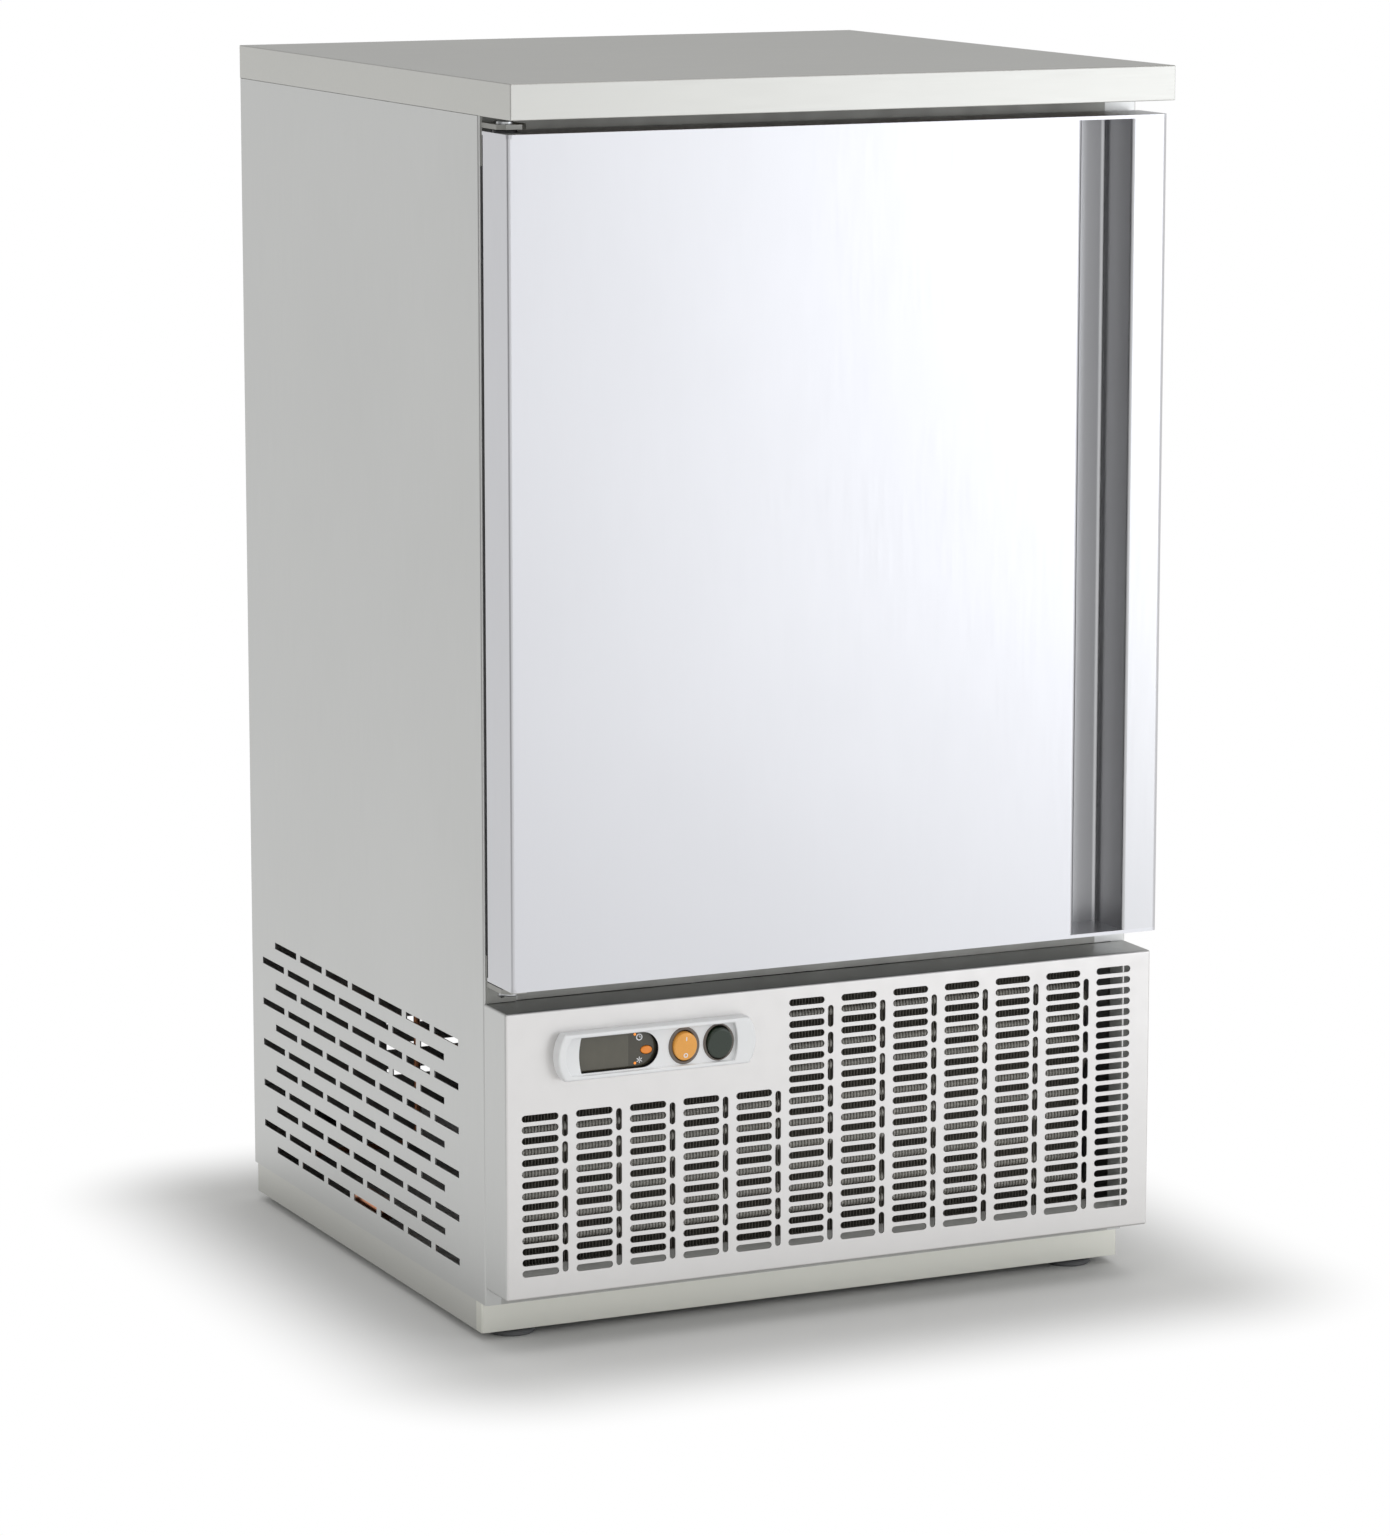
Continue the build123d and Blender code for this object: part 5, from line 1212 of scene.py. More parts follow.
def foot_mesh(node):
    """A levelling foot: a soft-edged pad, a spanner hexagon and a threaded stud."""
    low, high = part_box(node)
    middle = Vector(((low.x + high.x) / 2, (low.y + high.y) / 2, low.z))
    radius = (high.x - low.x) / 2
    pad = [(0.0, 0.0), (radius - PAD_EDGE, 0.0), (radius, PAD_EDGE), (radius, PAD_THICK - PAD_EDGE),
           (radius - PAD_EDGE, PAD_THICK), (0.0, PAD_THICK)]
    spanner = hexagon(HEX_RADIUS, HEX_THICK, PAD_EDGE / 2)
    spanner.transform(Matrix.Translation(middle + Vector((0, 0, PAD_THICK + HEX_THICK / 2))))
    top = high.z - low.z
    start = PAD_THICK + HEX_THICK
    stud = [(0.0, start)]
    for number in range(int((top - start) / THREAD_PITCH)):
        z = start + number * THREAD_PITCH
        stud += [(STUD_RADIUS - THREAD_DEPTH, z), (STUD_RADIUS, z + THREAD_PITCH / 2)]
    stud += [(STUD_RADIUS - THREAD_DEPTH, top), (0.0, top)]
    return joined(turned(pad, middle, steps=40), spanner, turned(stud, middle, steps=24))


class FROSTER_OT_feet(bpy.types.Operator):
    """Make the four levelling feet"""

    bl_idname = "froster.feet"
    bl_label = "Feet"

    def execute(self, context):
        for foot in FEET:
            finished(f"{foot}_screw_foot", foot_mesh(foot), "black_plastic", "rubber", foot, body=foot)
        return {"FINISHED"}


# Shelves

SHELF_WIRES = 21
THIN_SHARE = 0.7
SEATED = 0.96


def shelf_mesh(node):
    """A plated wire shelf: wires from front to back on two bearers, with a rim across each end."""
    low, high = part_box(node)
    thin, thick = sizes().wire, sizes().bearer
    deck = high.z - thin
    rest = low.z + thick
    parts = []
    for near, far in two_spans("shelf_supports", 1):
        y = (near + far) / 2
        parts.append(wire([(low.x, y, rest), (high.x, y, rest)], thick * SEATED, 12))
    step = (high.x - low.x - 2 * thin) / (SHELF_WIRES - 1)
    for number in range(SHELF_WIRES):
        x = low.x + thin + number * step
        radius = thin if number % 2 == 0 else thin * THIN_SHARE
        parts.append(wire([(x, low.y, deck), (x, high.y, deck)], radius * SEATED, 8))
    rim = deck - 2 * thin * SEATED
    for y in (low.y + thin, high.y - thin):
        parts.append(wire([(low.x + thin, y, rim), (high.x - thin, y, rim)], thin * SEATED, 10))
    return joined(*parts)


class FROSTER_OT_shelves(bpy.types.Operator):
    """Make the two wire shelves"""

    bl_idname = "froster.shelves"
    bl_label = "Shelves"

    def execute(self, context):
        for level in ("lower", "upper"):
            node = f"wire_shelf_{level}"
            finished(f"plated_shelf_{level}", shelf_mesh(node), "shelf_wire", "coated", node)
        return {"FINISHED"}


# Fans

FAN_BLADES = 5
BLADE_THICK = 0.0014
BLADE_PITCH = math.radians(26)
BLADE_WIDTH = 0.50
BLADE_ROOT = 0.85
LEAST_CHORD = 0.62
ROOT_STEEPER = 1.45
TWIST = 0.6
CURL = 0.10
SWEEP = 0.22
HUB_RADIUS = 0.022
HUB_LENGTH = 0.016
HUB_EDGE = 0.0025
HUB_BACK = {"condenser_fan_blade": 0.005, "evaporator_fan_blade": 0.004}
SHAFT_RADIUS = 0.003
SHAFT_IN = 0.014

MOTOR_EDGE = 0.10
MOTOR_BORE = 1.3
MOTOR_BOSS = (0.45, 0.50)
MOTOR_RIBS = 6
GROOVE = 0.94
GROOVE_SPAN = (0.55, 0.62, 0.93)

GUARD_RADIUS = 0.081
GUARD_WIRE = 0.0012
GUARD_RINGS = 5
GUARD_SPOKES = 6


def blade_mesh(hub, tip, width, pitch):
    """One twisted blade, standing up from the hub, its root steeper than its tip."""
    shape = bmesh.new()
    bmesh.ops.create_grid(shape, x_segments=8, y_segments=10, size=0.5)
    for corner in shape.verts:
        across, along = corner.co.x, corner.co.y + 0.5
        span = hub + (tip - hub) * along
        swell = math.sin(math.pi * min(along * 0.75 + 0.2, 1.0))
        u = width * (LEAST_CHORD + (1 - LEAST_CHORD) * swell) * across
        v = CURL * width * (1 - 4 * across * across)
        turn = pitch * (ROOT_STEEPER - TWIST * along)
        x = u * math.cos(turn) - v * math.sin(turn) + SWEEP * width * along * along
        y = u * math.sin(turn) + v * math.cos(turn)
        corner.co = (x, y, math.sqrt(max(span * span - x * x, 0.0)))
    bmesh.ops.recalc_face_normals(shape, faces=shape.faces)
    bmesh.ops.solidify(shape, geom=shape.faces[:], thickness=BLADE_THICK)
    return mesh_of(shape)


def fan_mesh(blade, motor):
    """A hub with a domed front and its twisted blades, on the shaft that the motor turns."""
    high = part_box(blade)[1]
    motor_low, motor_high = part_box(motor)
    x, z = (motor_low.x + motor_high.x) / 2, (motor_low.z + motor_high.z) / 2
    tip = high.z - z
    hub = high.y - SHAFT_IN - HUB_BACK[blade] - HUB_LENGTH
    shaft = high.y - hub
    profile = [(0.0, 0.0), (HUB_RADIUS * 0.6, 0.0), (HUB_RADIUS - HUB_EDGE, HUB_EDGE * 0.6),
               (HUB_RADIUS, HUB_EDGE * 1.8), (HUB_RADIUS, HUB_LENGTH), (SHAFT_RADIUS, HUB_LENGTH),
               (SHAFT_RADIUS, shaft), (0.0, shaft)]
    parts = [turned(profile, (x, hub, z), (0, 1, 0), 40)]
    for number in range(FAN_BLADES):
        made = blade_mesh(HUB_RADIUS * BLADE_ROOT, tip, BLADE_WIDTH * tip, BLADE_PITCH)
        turn = Matrix.Rotation(2 * math.pi * number / FAN_BLADES, 4, "Y")
        made.transform(Matrix.Translation((x, hub + HUB_LENGTH / 2, z)) @ turn)
        parts.append(made)
    return joined(*parts)


def motor_mesh(node):
    """A round motor: a ribbed can between two rounded ends."""
    low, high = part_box(node)
    radius, deep = (high.x - low.x) / 2, high.y - low.y
    x, z = (low.x + high.x) / 2, (low.z + high.z) / 2
    edge, bore = radius * MOTOR_EDGE, SHAFT_RADIUS * MOTOR_BORE
    shoulder = edge * 1.4
    profile = [(bore, 0.0), (radius * MOTOR_BOSS[0], 0.0), (radius * MOTOR_BOSS[1], edge * 0.4),
               (radius - edge, edge * 0.4), (radius, shoulder)]
    pitch = (deep - 2 * shoulder) / MOTOR_RIBS
    for number in range(MOTOR_RIBS):
        start = shoulder + pitch * number
        down, bottom, up = [start + pitch * share for share in GROOVE_SPAN]
        profile += [(radius, down), (radius * GROOVE, bottom), (radius * GROOVE, up), (radius, start + pitch)]
    profile += [(radius - edge, deep), (bore, deep), (bore, 0.0)]
    return turned(profile, (x, low.y, z), (0, 1, 0), 48)


def guard_mesh(x, y, z):
    """A wire guard over the fan's mouth: rings welded on spokes."""
    parts = []
    for number in range(1, GUARD_RINGS + 1):
        size = 2 * GUARD_RADIUS * number / GUARD_RINGS
        points = [(u, y - GUARD_WIRE * 3, w) for u, w in oval(size, size, x, z)]
        parts.append(wire(points, GUARD_WIRE, 8, closed=True))
    for number in range(GUARD_SPOKES):
        turn = math.pi * number / GUARD_SPOKES
        u, w = GUARD_RADIUS * math.cos(turn), GUARD_RADIUS * math.sin(turn)
        parts.append(wire([(x - u, y - GUARD_WIRE, z - w), (x + u, y - GUARD_WIRE, z + w)], GUARD_WIRE, 8))
    return joined(*parts)


class FROSTER_OT_fans(bpy.types.Operator):
    """Make both fans: their motors, and their blades on the bodies that spin"""

    bl_idname = "froster.fans"
    bl_label = "Fans"

    def execute(self, context):
        for place in ("condenser", "evaporator"):
            blade, motor = f"{place}_fan_blade", f"{place}_fan_motor"
            wheel = fan_mesh(blade, motor)
            finished(f"{place}_fan_wheel", wheel, "black_plastic", "black", blade, body=f"{place}_fan")
            finished(f"{place}_ribbed_motor", motor_mesh(motor), "black_enamel", "enamel", motor)
        low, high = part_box("evaporator_fan_motor")
        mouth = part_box("evaporator_cover")[0].y
        guard = guard_mesh((low.x + high.x) / 2, mouth, (low.z + high.z) / 2)
        finished("fan_guard", guard, "shelf_wire", "coated")
        return {"FINISHED"}


# Compressor and pipes

SHELL_RADIUS = 0.074
SHELL_FOOT = 0.010
WELD_RISE = 0.038
WELD_EDGE = 0.001
WELD_THICK = 0.006
WELD_PROUD = 0.003
CROWN_START = 0.118
CROWN_STEPS = 10
CARRIER_THICK = 0.003
CARRIER_CORNER = 0.0012
MOUNT_RADIUS = 0.012
MOUNT_PROFILE = ((0.0, 0.0), (1.0, 0.0), (1.0, 0.25), (0.74, 0.34), (0.74, 0.62), (1.0, 0.72), (1.0, 1.0),
                 (0.0, 1.0))
RELAY_EDGE = 0.003
RELAY_LID = 0.0015
RELAY_SEAT = 0.006

SUCTION = 0.005
LIQUID = 0.003
PIPE_BEND = 0.016
PIPE_SEAT = 0.002
STUB_WALL = 0.0016
STUB_LENGTH = 0.012
DRIER_NECK = 1.4
DRIER_STUB = 1.35
DRAIN_WALL = 0.0015


def shell_mesh():
    """A welded shell: rounded foot, flange where its halves meet, and a domed crown."""
    carrier_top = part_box("compressor_mounts")[1].z + CARRIER_THICK
    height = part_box("compressor")[1].z - carrier_top
    flange = SHELL_RADIUS + WELD_PROUD
    profile = [(0.0, 0.0)]
    profile += [(SHELL_RADIUS - inset, depth) for inset, depth in reversed(quarter(SHELL_FOOT))]
    profile += [(SHELL_RADIUS, WELD_RISE), (flange, WELD_RISE + WELD_EDGE),
                (flange, WELD_RISE + WELD_THICK - WELD_EDGE), (SHELL_RADIUS, WELD_RISE + WELD_THICK),
                (SHELL_RADIUS, CROWN_START)]
    for number in range(1, CROWN_STEPS):
        turn = math.pi / 2 * number / CROWN_STEPS
        crown = CROWN_START + (height - CROWN_START) * math.sin(turn)
        profile.append((SHELL_RADIUS * math.cos(turn), crown))
    profile.append((0.0, height))
    return turned(profile, (*middle_of("compressor").xy, carrier_top), steps=64)


class FROSTER_OT_compressor(bpy.types.Operator):
    """Make the compressor on its rubber mounts, with its relay box"""

    bl_idname = "froster.compressor"
    bl_label = "Compressor"

    def execute(self, context):
        low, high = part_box("compressor")
        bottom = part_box("compressor_mounts")[1].z
        carrier = block((low.x, low.y, bottom), (high.x, high.y, bottom + CARRIER_THICK), CARRIER_CORNER)
        shell = joined(shell_mesh(), carrier)
        finished("welded_compressor", shell, "black_enamel", "enamel", "compressor")
        low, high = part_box("compressor_mounts")
        radius = MOUNT_RADIUS
        profile = scaled(MOUNT_PROFILE, radius, high.z - low.z)
        mounts = [turned(profile, (x, y, low.z), steps=28)
                  for x in (low.x + radius, high.x - radius) for y in (low.y + radius, high.y - radius)]
        finished("rubber_mounts", joined(*mounts), "gasket_rubber", "rubber", "compressor_mounts")
        low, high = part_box("relay_box")
        box = block(low, (high.x - RELAY_SEAT, high.y, high.z), RELAY_EDGE, 3)
        lid = block((low.x - RELAY_LID, low.y + RELAY_EDGE, low.z + RELAY_EDGE),
                    (low.x + RELAY_LID, high.y - RELAY_EDGE, high.z - RELAY_EDGE), RELAY_LID / 2)
        finished("relay_cover", joined(box, lid), "black_plastic", "black", "relay_box")
        return {"FINISHED"}


def collar_on(point, axis, radius):
    """A short brazed collar round the end of a pipe."""
    outer, half = radius + STUB_WALL, STUB_LENGTH / 2
    profile = [(0.0, -half), (outer, -half), (outer, 0.0), (radius + STUB_WALL / 2, half), (0.0, half)]
    return turned(profile, point, axis, 20)


def pipe(route, radius, steps=16):
    """A pipe along straight runs, bent at each corner."""
    return wire(bent(route, PIPE_BEND), radius, steps)


class FROSTER_OT_pipes(bpy.types.Operator):
    """Bend the refrigerant pipes and make the filter drier and the drain"""

    bl_idname = "froster.pipes"
    bl_label = "Pipes"

    def execute(self, context):
        shell = middle_of("compressor")
        drier_low, drier_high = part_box("filter_drier")
        drier = (drier_low + drier_high) / 2
        start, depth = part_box("condenser_fins")[0].x, coil_depth()
        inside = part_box("evaporator")[0].y
        low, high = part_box("discharge_pipe")
        top = high.z - DISCHARGE
        route = [(shell.x, shell.y, low.z - PIPE_SEAT), (shell.x, shell.y, top), (drier.x, shell.y, top),
                 (drier.x, depth, top), (start, depth, top)]
        parts = [pipe(route, DISCHARGE), collar_on((shell.x, shell.y, low.z), (0, 0, 1), DISCHARGE)]
        finished("bent_discharge_pipe", joined(*parts), "copper_tube", "copper", "discharge_pipe")
        low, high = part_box("suction_pipe")
        line, entry, top = high.y - SUCTION, low.z + SUCTION, high.z - SUCTION
        route = [(shell.x, inside, top), (shell.x, line, top), (shell.x, line, entry),
                 (shell.x, low.y - PIPE_SEAT, entry)]
        parts = [pipe(route, SUCTION), collar_on((shell.x, low.y, entry), (0, 1, 0), SUCTION)]
        finished("bent_suction_pipe", joined(*parts), "copper_tube", "copper", "suction_pipe")
        low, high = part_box("liquid_pipe")
        across, top = high.x - LIQUID, high.z - LIQUID
        before = [(start, depth, drier.z), (drier.x, depth, drier.z),
                  (drier.x, drier_low.y + PIPE_SEAT, drier.z)]
        after = [(drier.x, drier_high.y - PIPE_SEAT, drier.z), (drier.x, line, drier.z),
                 (across, line, drier.z), (across, line, top), (across, inside, top)]
        parts = [pipe(route, LIQUID, 14) for route in (before, after)]
        finished("bent_liquid_pipe", joined(*parts), "copper_tube", "copper", "liquid_pipe")
        long, radius = drier_high.y - drier_low.y, (drier_high.z - drier_low.z) / 2
        neck, stub = radius * DRIER_NECK, LIQUID * DRIER_STUB
        half = [(0.0, 0.0), (stub, 0.0), (stub, neck * 0.3), (radius * 0.8, neck * 0.75), (radius, neck)]
        profile = half + [(out, long - rise) for out, rise in reversed(half)]
        spun = turned(profile, (drier.x, drier_low.y, drier.z), (0, 1, 0))
        finished("spun_filter_drier", spun, "copper_tube", "copper", "filter_drier")
        low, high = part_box("drain_pipe")
        place, radius = (low + high) / 2, (high.x - low.x) / 2
        inner = radius - DRAIN_WALL
        profile = [(radius, low.z), (radius, high.z), (inner, high.z), (inner, low.z), (radius, low.z)]
        tube = turned(profile, (place.x, place.y, 0))
        finished("drain_tube", tube, "grey_plastic", "grey", "drain_pipe")
        return {"FINISHED"}


# Shroud of the condenser

DUCT_RADIUS = 0.100
DUCT_ROLL = 0.004
DUCT_STEPS = 72
STRUT_THICK = 0.002
STRUT_WIDTH = 0.018


class FROSTER_OT_shroud(bpy.types.Operator):
    """Form the condenser's shroud: a sheet, the fan's round duct and the motor's strut"""

    bl_idname = "froster.shroud"
    bl_label = "Shroud"

    def execute(self, context):
        low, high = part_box("condenser_hood")
        middle = middle_of("condenser_fan_motor")
        motor_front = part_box("condenser_fan_motor")[0].y
        sheet, inner = sizes().sheet, DUCT_RADIUS
        outer, deep = inner + sheet, motor_front - low.y
        mouth = oval(2 * inner, 2 * inner, middle.x, middle.z, DUCT_STEPS)
        face = plate([inset_box(low, high, 0.0), mouth], (low.y + sheet, low.y))
        profile = [(inner, 0.0), (inner + DUCT_ROLL, 0.0), (outer, DUCT_ROLL), (outer, deep), (inner, deep),
                   (inner, 0.0)]
        duct = turned(profile, (middle.x, low.y, middle.z), (0, 1, 0), DUCT_STEPS)
        strut = block((middle.x - outer, motor_front - STRUT_THICK, middle.z - STRUT_WIDTH / 2),
                      (middle.x + outer, motor_front, middle.z + STRUT_WIDTH / 2), STRUT_THICK / 4)
        finished("rolled_shroud", joined(face, duct, strut), "galvanised_steel", "zinc", "condenser_hood")
        return {"FINISHED"}


# Door seal and hinges

SEAL_WIDTH = 0.016
SEAL_PROFILE = ((0.0, 0.0), (1.0, 0.0), (1.0, 0.16), (0.80, 0.22), (0.72, 0.36), (0.94, 0.46), (1.0, 0.62),
                (0.96, 0.84), (0.84, 1.0), (0.16, 1.0), (0.04, 0.84), (0.0, 0.62), (0.06, 0.46), (0.28, 0.36),
                (0.20, 0.22), (0.0, 0.16))
PIN_RADIUS = 0.004
PIN_HEAD = 0.003
PIN_HEAD_RADIUS = 0.007
PIN_EDGE = 0.001
BUSH_RADIUS = 0.008
BUSH_FLANGE = 0.010
BUSH_FLANGE_THICK = 0.002
BUSH_EDGE = 0.0005
BUSH_CLEAR = 0.0001


def seal_mesh():
    """A gasket mitred at its corners: its base in the door, a waist, and a bulb that meets the cabinet."""
    low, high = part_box("door_gasket")
    side = scaled(SEAL_PROFILE, SEAL_WIDTH, high.y - low.y)
    shape = bmesh.new()
    first, last = loft(shape, [(inset_box(low, high, inset), low.y + depth) for inset, depth in side])
    bmesh.ops.bridge_loops(shape, edges=first + last)
    return mesh_of(shape)


class FROSTER_OT_seal(bpy.types.Operator):
    """Mould the door's gasket"""

    bl_idname = "froster.seal"
    bl_label = "Door gasket"

    def execute(self, context):
        finished("moulded_gasket", seal_mesh(), "gasket_rubber", "rubber", "door_gasket", body=DOOR)
        return {"FINISHED"}


def upright(profile, place, start, end):
    """A profile spun round an upright axis, from one height up or down to another."""
    return turned(profile, (*place, start), (0, 0, 1 if end > start else -1))


def pin_mesh(place, head, end):
    """A headed hinge pin from its head's outer face to its rounded end."""
    long = abs(end - head)
    profile = [(0.0, 0.0), (PIN_HEAD_RADIUS - PIN_EDGE, 0.0), (PIN_HEAD_RADIUS, PIN_EDGE),
               (PIN_HEAD_RADIUS, PIN_HEAD), (PIN_RADIUS, PIN_HEAD), (PIN_RADIUS, long - PIN_EDGE),
               (PIN_RADIUS - PIN_EDGE, long), (0.0, long)]
    return upright(profile, place, head, end)


def bush_mesh(place, face, end):
    """A flanged bush from its flange's outer face to its end, open for the pin."""
    long = abs(end - face)
    inner = PIN_RADIUS + BUSH_CLEAR
    profile = [(inner, 0.0), (BUSH_FLANGE - BUSH_EDGE, 0.0), (BUSH_FLANGE, BUSH_EDGE),
               (BUSH_FLANGE, BUSH_FLANGE_THICK), (BUSH_RADIUS, BUSH_FLANGE_THICK), (BUSH_RADIUS, long),
               (inner, long), (inner, 0.0)]
    return upright(profile, place, face, end)


def hinge_pair(node, maker):
    """The lower and the upper piece of a hinge, the upper one turned over."""
    place = middle_of("hinge_pins").xy
    lower, upper = two_spans(node, 2)
    return joined(maker(place, *lower), maker(place, upper[1], upper[0]))


class FROSTER_OT_hinges(bpy.types.Operator):
    """Turn the hinge pins and their bushes"""

    bl_idname = "froster.hinges"
    bl_label = "Hinges"

    def execute(self, context):
        pins = hinge_pair("hinge_pins", pin_mesh)
        finished("turned_hinge_pins", pins, "galvanised_steel", "pin", "hinge_pins")
        bushes = hinge_pair("door_bushes", bush_mesh)
        finished("turned_bushes", bushes, "black_plastic", "black", "door_bushes", body=DOOR)
        return {"FINISHED"}


# Evaporator and its cover

COVER_FOLD = 0.003
MOUTH_RADIUS = 0.076
MOUTH_STEPS = 72
EVAPORATOR_PITCH = 0.006
EVAPORATOR_TUBE = 0.004


def cover_mesh():
    """A folded cover, open below and behind, with a round mouth for its fan."""
    low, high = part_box("evaporator_cover")
    shape, front = folded_box(low, high, lambda normal: normal.y > 0.5 or normal.z < -0.5, COVER_FOLD)
    motor = middle_of("evaporator_fan_motor")
    mouth = oval(2 * MOUTH_RADIUS, 2 * MOUTH_RADIUS, motor.x, motor.z, MOUTH_STEPS)
    pierce(shape, front, [mouth], lambda u, w: (u, low.y, w))
    return thickened(shape, sizes().sheet, (low + high) / 2)


class FROSTER_OT_evaporator(bpy.types.Operator):
    """Make the evaporator, its tube and its cover"""

    bl_idname = "froster.evaporator"
    bl_label = "Evaporator"

    def execute(self, context):
        finished("folded_cover", cover_mesh(), "liner_steel", "liner", "evaporator_cover")
        low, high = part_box("evaporator")
        front, left = low.y + 2 * EVAPORATOR_TUBE, low.x + 2 * EVAPORATOR_TUBE
        fins = fin_stack(Vector((left, front, low.z)), Vector((-left, high.y, high.z)), EVAPORATOR_PITCH)
        suction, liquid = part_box("suction_pipe")[1].z - SUCTION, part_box("liquid_pipe")[1].z - LIQUID
        reach = left + EVAPORATOR_TUBE
        levels = [suction, (suction + liquid) / 2, liquid]
        route = serpentine((reach, -reach), low.y + EVAPORATOR_TUBE, levels)
        coil = wire(route, EVAPORATOR_TUBE * TUBE_SHARE, 12)
        finished("evaporator_coil", joined(fins, coil), "fin_aluminium", "fins", "evaporator")
        return {"FINISHED"}


# Small fixings

SCREW_INSET = 0.012
COVER_SCREWS = 4
BRACKET_PLATE = 0.003
BRACKET_SCREWS = (0.007, 0.033)
BRACKET_SCREW_SHARE = 0.8
NUT_EDGE = 0.0012
GLAND_NUT = 0.004
GLAND_BORE = 0.004
GLAND_BARREL = 0.70


def cover_screws():
    """A row of screws along the foot and along the head of the rear cover."""
    low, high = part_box("rear_cover")
    step = (high.x - low.x - 2 * SCREW_INSET) / (COVER_SCREWS - 1)
    return [screw_head((low.x + SCREW_INSET + number * step, high.y, z), (0, 1, 0), sizes().screw)
            for z in (low.z + SCREW_INSET, high.z - SCREW_INSET) for number in range(COVER_SCREWS)]


def bracket_screws():
    """The screws that hold the hinge brackets to the front frame."""
    low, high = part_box("hinge_brackets")
    middle = (low.x + high.x) / 2
    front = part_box("front_frame")[0].y - BRACKET_PLATE
    return [screw_head((middle, front, z), (0, -1, 0), sizes().screw * BRACKET_SCREW_SHARE)
            for rise in BRACKET_SCREWS for z in (low.z + rise, high.z - rise)]


def gland_mesh():
    """The cable gland: a nut outside the cover and an open barrel through it."""
    low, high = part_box("cable_gland")
    place, radius = (low + high) / 2, (high.x - low.x) / 2
    long = high.y - low.y - GLAND_NUT / 2
    nut = hexagon(radius, GLAND_NUT, NUT_EDGE)
    nut.transform(Matrix.Translation((place.x, high.y - GLAND_NUT / 2, place.z))
                  @ Matrix.Rotation(math.pi / 2, 4, "X"))
    outer = radius * GLAND_BARREL
    profile = [(GLAND_BORE, 0.0), (outer, 0.0), (outer, long), (GLAND_BORE, long), (GLAND_BORE, 0.0)]
    return joined(nut, turned(profile, (place.x, low.y, place.z), (0, 1, 0)))


class FROSTER_OT_fixings(bpy.types.Operator):
    """Screw the rear cover and the hinge brackets on, and fit the cable's gland"""

    bl_idname = "froster.fixings"
    bl_label = "Fixings"

    def execute(self, context):
        finished("cover_screws", joined(*cover_screws()), "galvanised_steel", "pin")
        finished("bracket_screws", joined(*bracket_screws()), "galvanised_steel", "pin")
        finished("gland_nut", gland_mesh(), "black_plastic", "black", "cable_gland")
        return {"FINISHED"}


# Stage, light and camera

CAMERA_PLACE = (-2.0982, -4.53213, 1.3284)
CAMERA_YAW = math.radians(-24.85578)
CAMERA_PITCH = math.radians(-10.26228)
FOCAL_PIXELS = 5805.77
SENSOR = 36.0
FLOOR_REACH = 1.6
# Span beside the object over which the floor's painted shade fades into plain white.
CLEAR_FLOOR = (0.01, 0.20)
LAMPS = {
    "front_right": {"place": (2.6, -3.45, 0.75), "size": 2.2, "power": 28.5, "shade": (0.93, 0.95, 1.0)},
    "front_left": {"place": (-3.4, -2.8, 2.4), "size": 2.2, "power": 14.0, "shade": (1.0, 1.0, 1.0)},
    "above": {"place": (0.6, -1.2, 3.8), "size": 3.0, "power": 22.0, "shade": (1.0, 0.99, 0.97)},
}
AIM = Vector((0.0, 0.0, 0.55))
ROOM_SHADE = (0.83, 0.83, 0.82, 1.0)
ROOM_LEVEL = 0.72
ROOM_UP = (-0.02, 0.45)
CEILING = 0.45
LEFT_CARD = (-0.97, -0.62)
LEFT_WALL = 0.30
WHITE = (1.0, 1.0, 1.0, 1.0)


def seen_directly(tree):
    """1 for rays that look at, reflect or pass on the background, otherwise 0."""
    rays = add_node(tree, "LightPath", {}).outputs
    looked = worked_out(tree, "MAXIMUM", rays["Is Camera Ray"], rays["Is Glossy Ray"])
    return worked_out(tree, "MAXIMUM", looked, rays["Is Transmission Ray"])


def room_colour(tree):
    """White to the camera; in reflections it darkens towards the ceiling and has a dark card at the left."""
    parts = add_node(tree, "SeparateXYZ", {"Vector": coordinates(tree, "Generated")}).outputs
    up = ranged(tree, parts["Z"], ROOM_UP, (1.0, CEILING), smooth=True)
    aside = ranged(tree, parts["X"], LEFT_CARD, (LEFT_WALL, 1.0))
    level = worked_out(tree, "MULTIPLY", up, aside)
    return worked_out(tree, "MAXIMUM", level, add_node(tree, "LightPath", {}).outputs["Is Camera Ray"])


def studio_world():
    """A white room for what looks at it, and a plainer level for the light that it gives."""
    world = bpy.data.worlds.new("studio")
    world.use_nodes = True
    tree = world.node_tree
    room = tree.nodes["Background"]
    connect(tree, room, {"Color": ROOM_SHADE, "Strength": ROOM_LEVEL})
    white = add_node(tree, "Background", {"Color": room_colour(tree), "Strength": 1.0})
    inputs = {"Fac": seen_directly(tree), 1: room.outputs["Background"], 2: white.outputs["Background"]}
    mix = add_node(tree, "MixShader", inputs)
    connect(tree, tree.nodes["World Output"], {"Surface": mix.outputs["Shader"]})
    bpy.context.scene.world = world


def past_object(tree):
    """How far a place lies beside the object's box, seen from above."""
    outside = coordinates(tree)
    corner = (FRAME_BOX[1].x, FRAME_BOX[1].y, 0.0)
    for operation, *value in (("ABSOLUTE",), ("SUBTRACT", corner), ("MAXIMUM", (0.0, 0.0, 0.0))):
        outside = worked_out(tree, operation, outside, *value, kind="VectorMath", output="Vector")
    return worked_out(tree, "LENGTH", outside, kind="VectorMath")


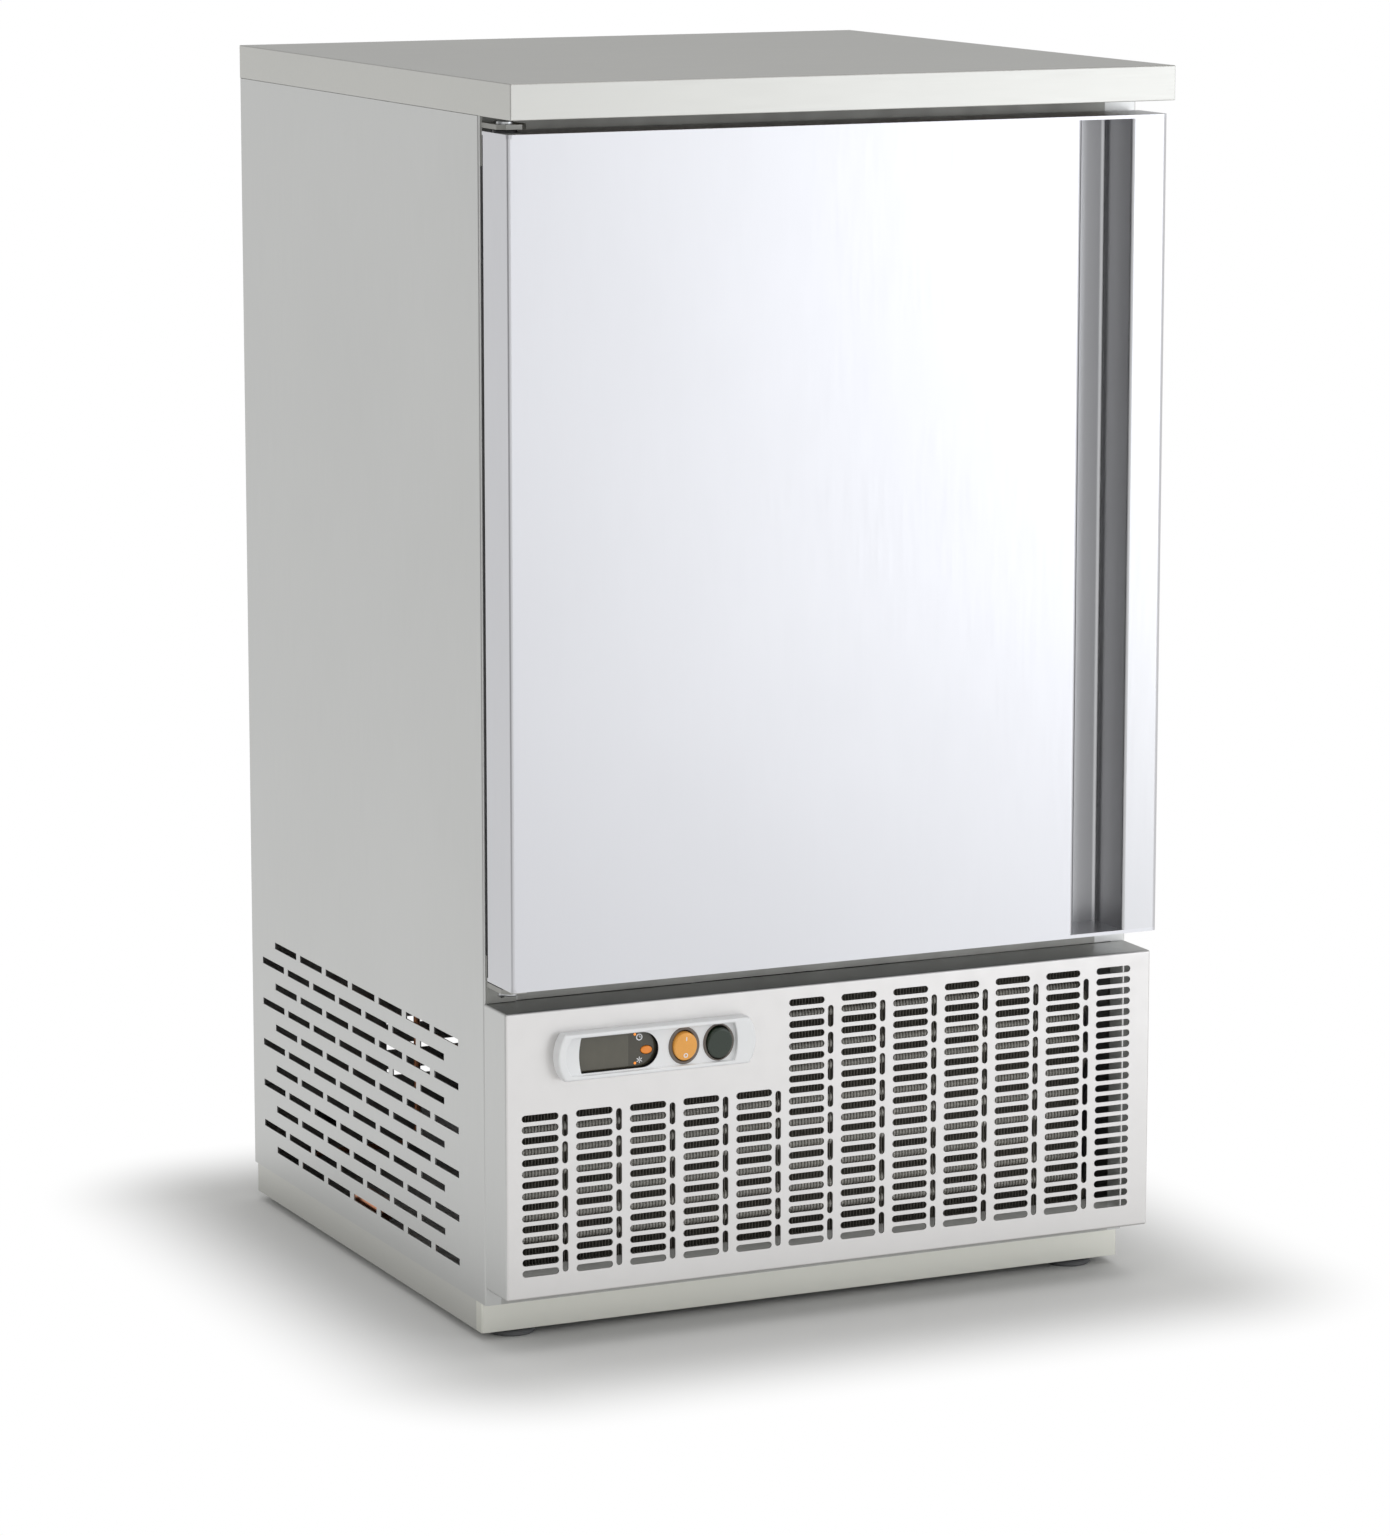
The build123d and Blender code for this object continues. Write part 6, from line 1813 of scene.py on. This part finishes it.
def studio_floor():
    """A pale floor that keeps the shadow near the object and is plain white further off; its grey near the
    object is painted shade besides the real shadow.
    """
    shape = bmesh.new()
    bmesh.ops.create_grid(shape, x_segments=1, y_segments=1, size=FLOOR_REACH)
    floor = bpy.data.objects.new("floor", mesh_of(shape))
    bpy.context.scene.collection.objects.link(floor)
    finish = Finish("studio floor", "floor", 0.85)
    finish.vary_colour(finish.pattern(scale=0.6), amount=0.01)
    tree = finish.tree
    fade = ranged(tree, past_object(tree), CLEAR_FLOOR, (0.0, 1.0), smooth=True)
    white = add_node(tree, "Emission", {"Color": WHITE, "Strength": 1.0})
    inputs = {"Fac": worked_out(tree, "MULTIPLY", fade, seen_directly(tree)),
              1: finish.shader.outputs["BSDF"], 2: white.outputs["Emission"]}
    mix = add_node(tree, "MixShader", inputs)
    connect(tree, tree.nodes["Material Output"], {"Surface": mix.outputs["Shader"]})
    floor.data.materials.append(finish.material)


def lamp(name, place, size, power, shade):
    """A square lamp that points at the object."""
    light = bpy.data.lights.new(name, "AREA")
    light.color = shade
    light.shape = "SQUARE"
    light.size = size
    light.energy = power
    holder = bpy.data.objects.new(name, light)
    holder.location = place
    holder.rotation_euler = (AIM - Vector(place)).to_track_quat("-Z", "Y").to_euler()
    bpy.context.scene.collection.objects.link(holder)


class FROSTER_OT_stage(bpy.types.Operator):
    """Set up the floor, the light and the camera"""

    bl_idname = "froster.stage"
    bl_label = "Stage"

    def execute(self, context):
        studio_world()
        studio_floor()
        for name, facts in LAMPS.items():
            lamp(name, **facts)
        camera = bpy.data.cameras.new("camera")
        camera.sensor_fit = "AUTO"
        camera.sensor_width = SENSOR
        camera.lens = FOCAL_PIXELS * SENSOR / max(IMAGE_WIDTH, IMAGE_HEIGHT)
        holder = bpy.data.objects.new("camera", camera)
        holder.location = CAMERA_PLACE
        holder.rotation_euler = (math.pi / 2 + CAMERA_PITCH, 0.0, CAMERA_YAW)
        context.scene.collection.objects.link(holder)
        context.scene.camera = holder
        context.scene.view_settings.view_transform = "Standard"
        return {"FINISHED"}


# The add-on

STEPS = [
    FROSTER_OT_finishes,
    FROSTER_OT_grille,
    FROSTER_OT_bezel,
    FROSTER_OT_controller,
    FROSTER_OT_switches,
    FROSTER_OT_condenser,
    FROSTER_OT_shroud,
    FROSTER_OT_compressor,
    FROSTER_OT_pipes,
    FROSTER_OT_worktop,
    FROSTER_OT_door,
    FROSTER_OT_plinth,
    FROSTER_OT_feet,
    FROSTER_OT_hinges,
    FROSTER_OT_seal,
    FROSTER_OT_shelves,
    FROSTER_OT_evaporator,
    FROSTER_OT_fans,
    FROSTER_OT_fixings,
    FROSTER_OT_stage,
]


class FROSTER_PT_looks(bpy.types.Panel):
    """Lists the sizes, the colours and, in their order, the steps that dress the frame"""

    bl_idname = "FROSTER_PT_looks"
    bl_label = "Froster"
    bl_space_type = "VIEW_3D"
    bl_region_type = "UI"
    bl_category = "Froster"

    def draw(self, context):
        for group in (context.scene.froster_sizes, context.scene.froster_colours):
            box = self.layout.box()
            for name in group.bl_rna.properties.keys():
                if name not in ("rna_type", "name"):
                    box.prop(group, name)
        for step in STEPS:
            self.layout.operator(step.bl_idname)


CLASSES = [FrosterSizes, FrosterColours, *STEPS, FROSTER_PT_looks]


def register():
    """Adds the classes and the panel's values to Blender."""
    for kind in CLASSES:
        bpy.utils.register_class(kind)
    bpy.types.Scene.froster_sizes = bpy.props.PointerProperty(type=FrosterSizes)
    bpy.types.Scene.froster_colours = bpy.props.PointerProperty(type=FrosterColours)


def unregister():
    """Takes them away again."""
    del bpy.types.Scene.froster_colours
    del bpy.types.Scene.froster_sizes
    for kind in reversed(CLASSES):
        bpy.utils.unregister_class(kind)


def main():
    """Runs every step in its order."""
    register()
    for step in STEPS:
        family, name = step.bl_idname.split(".")
        getattr(getattr(bpy.ops, family), name)()


if __name__ == "__main__":
    main()
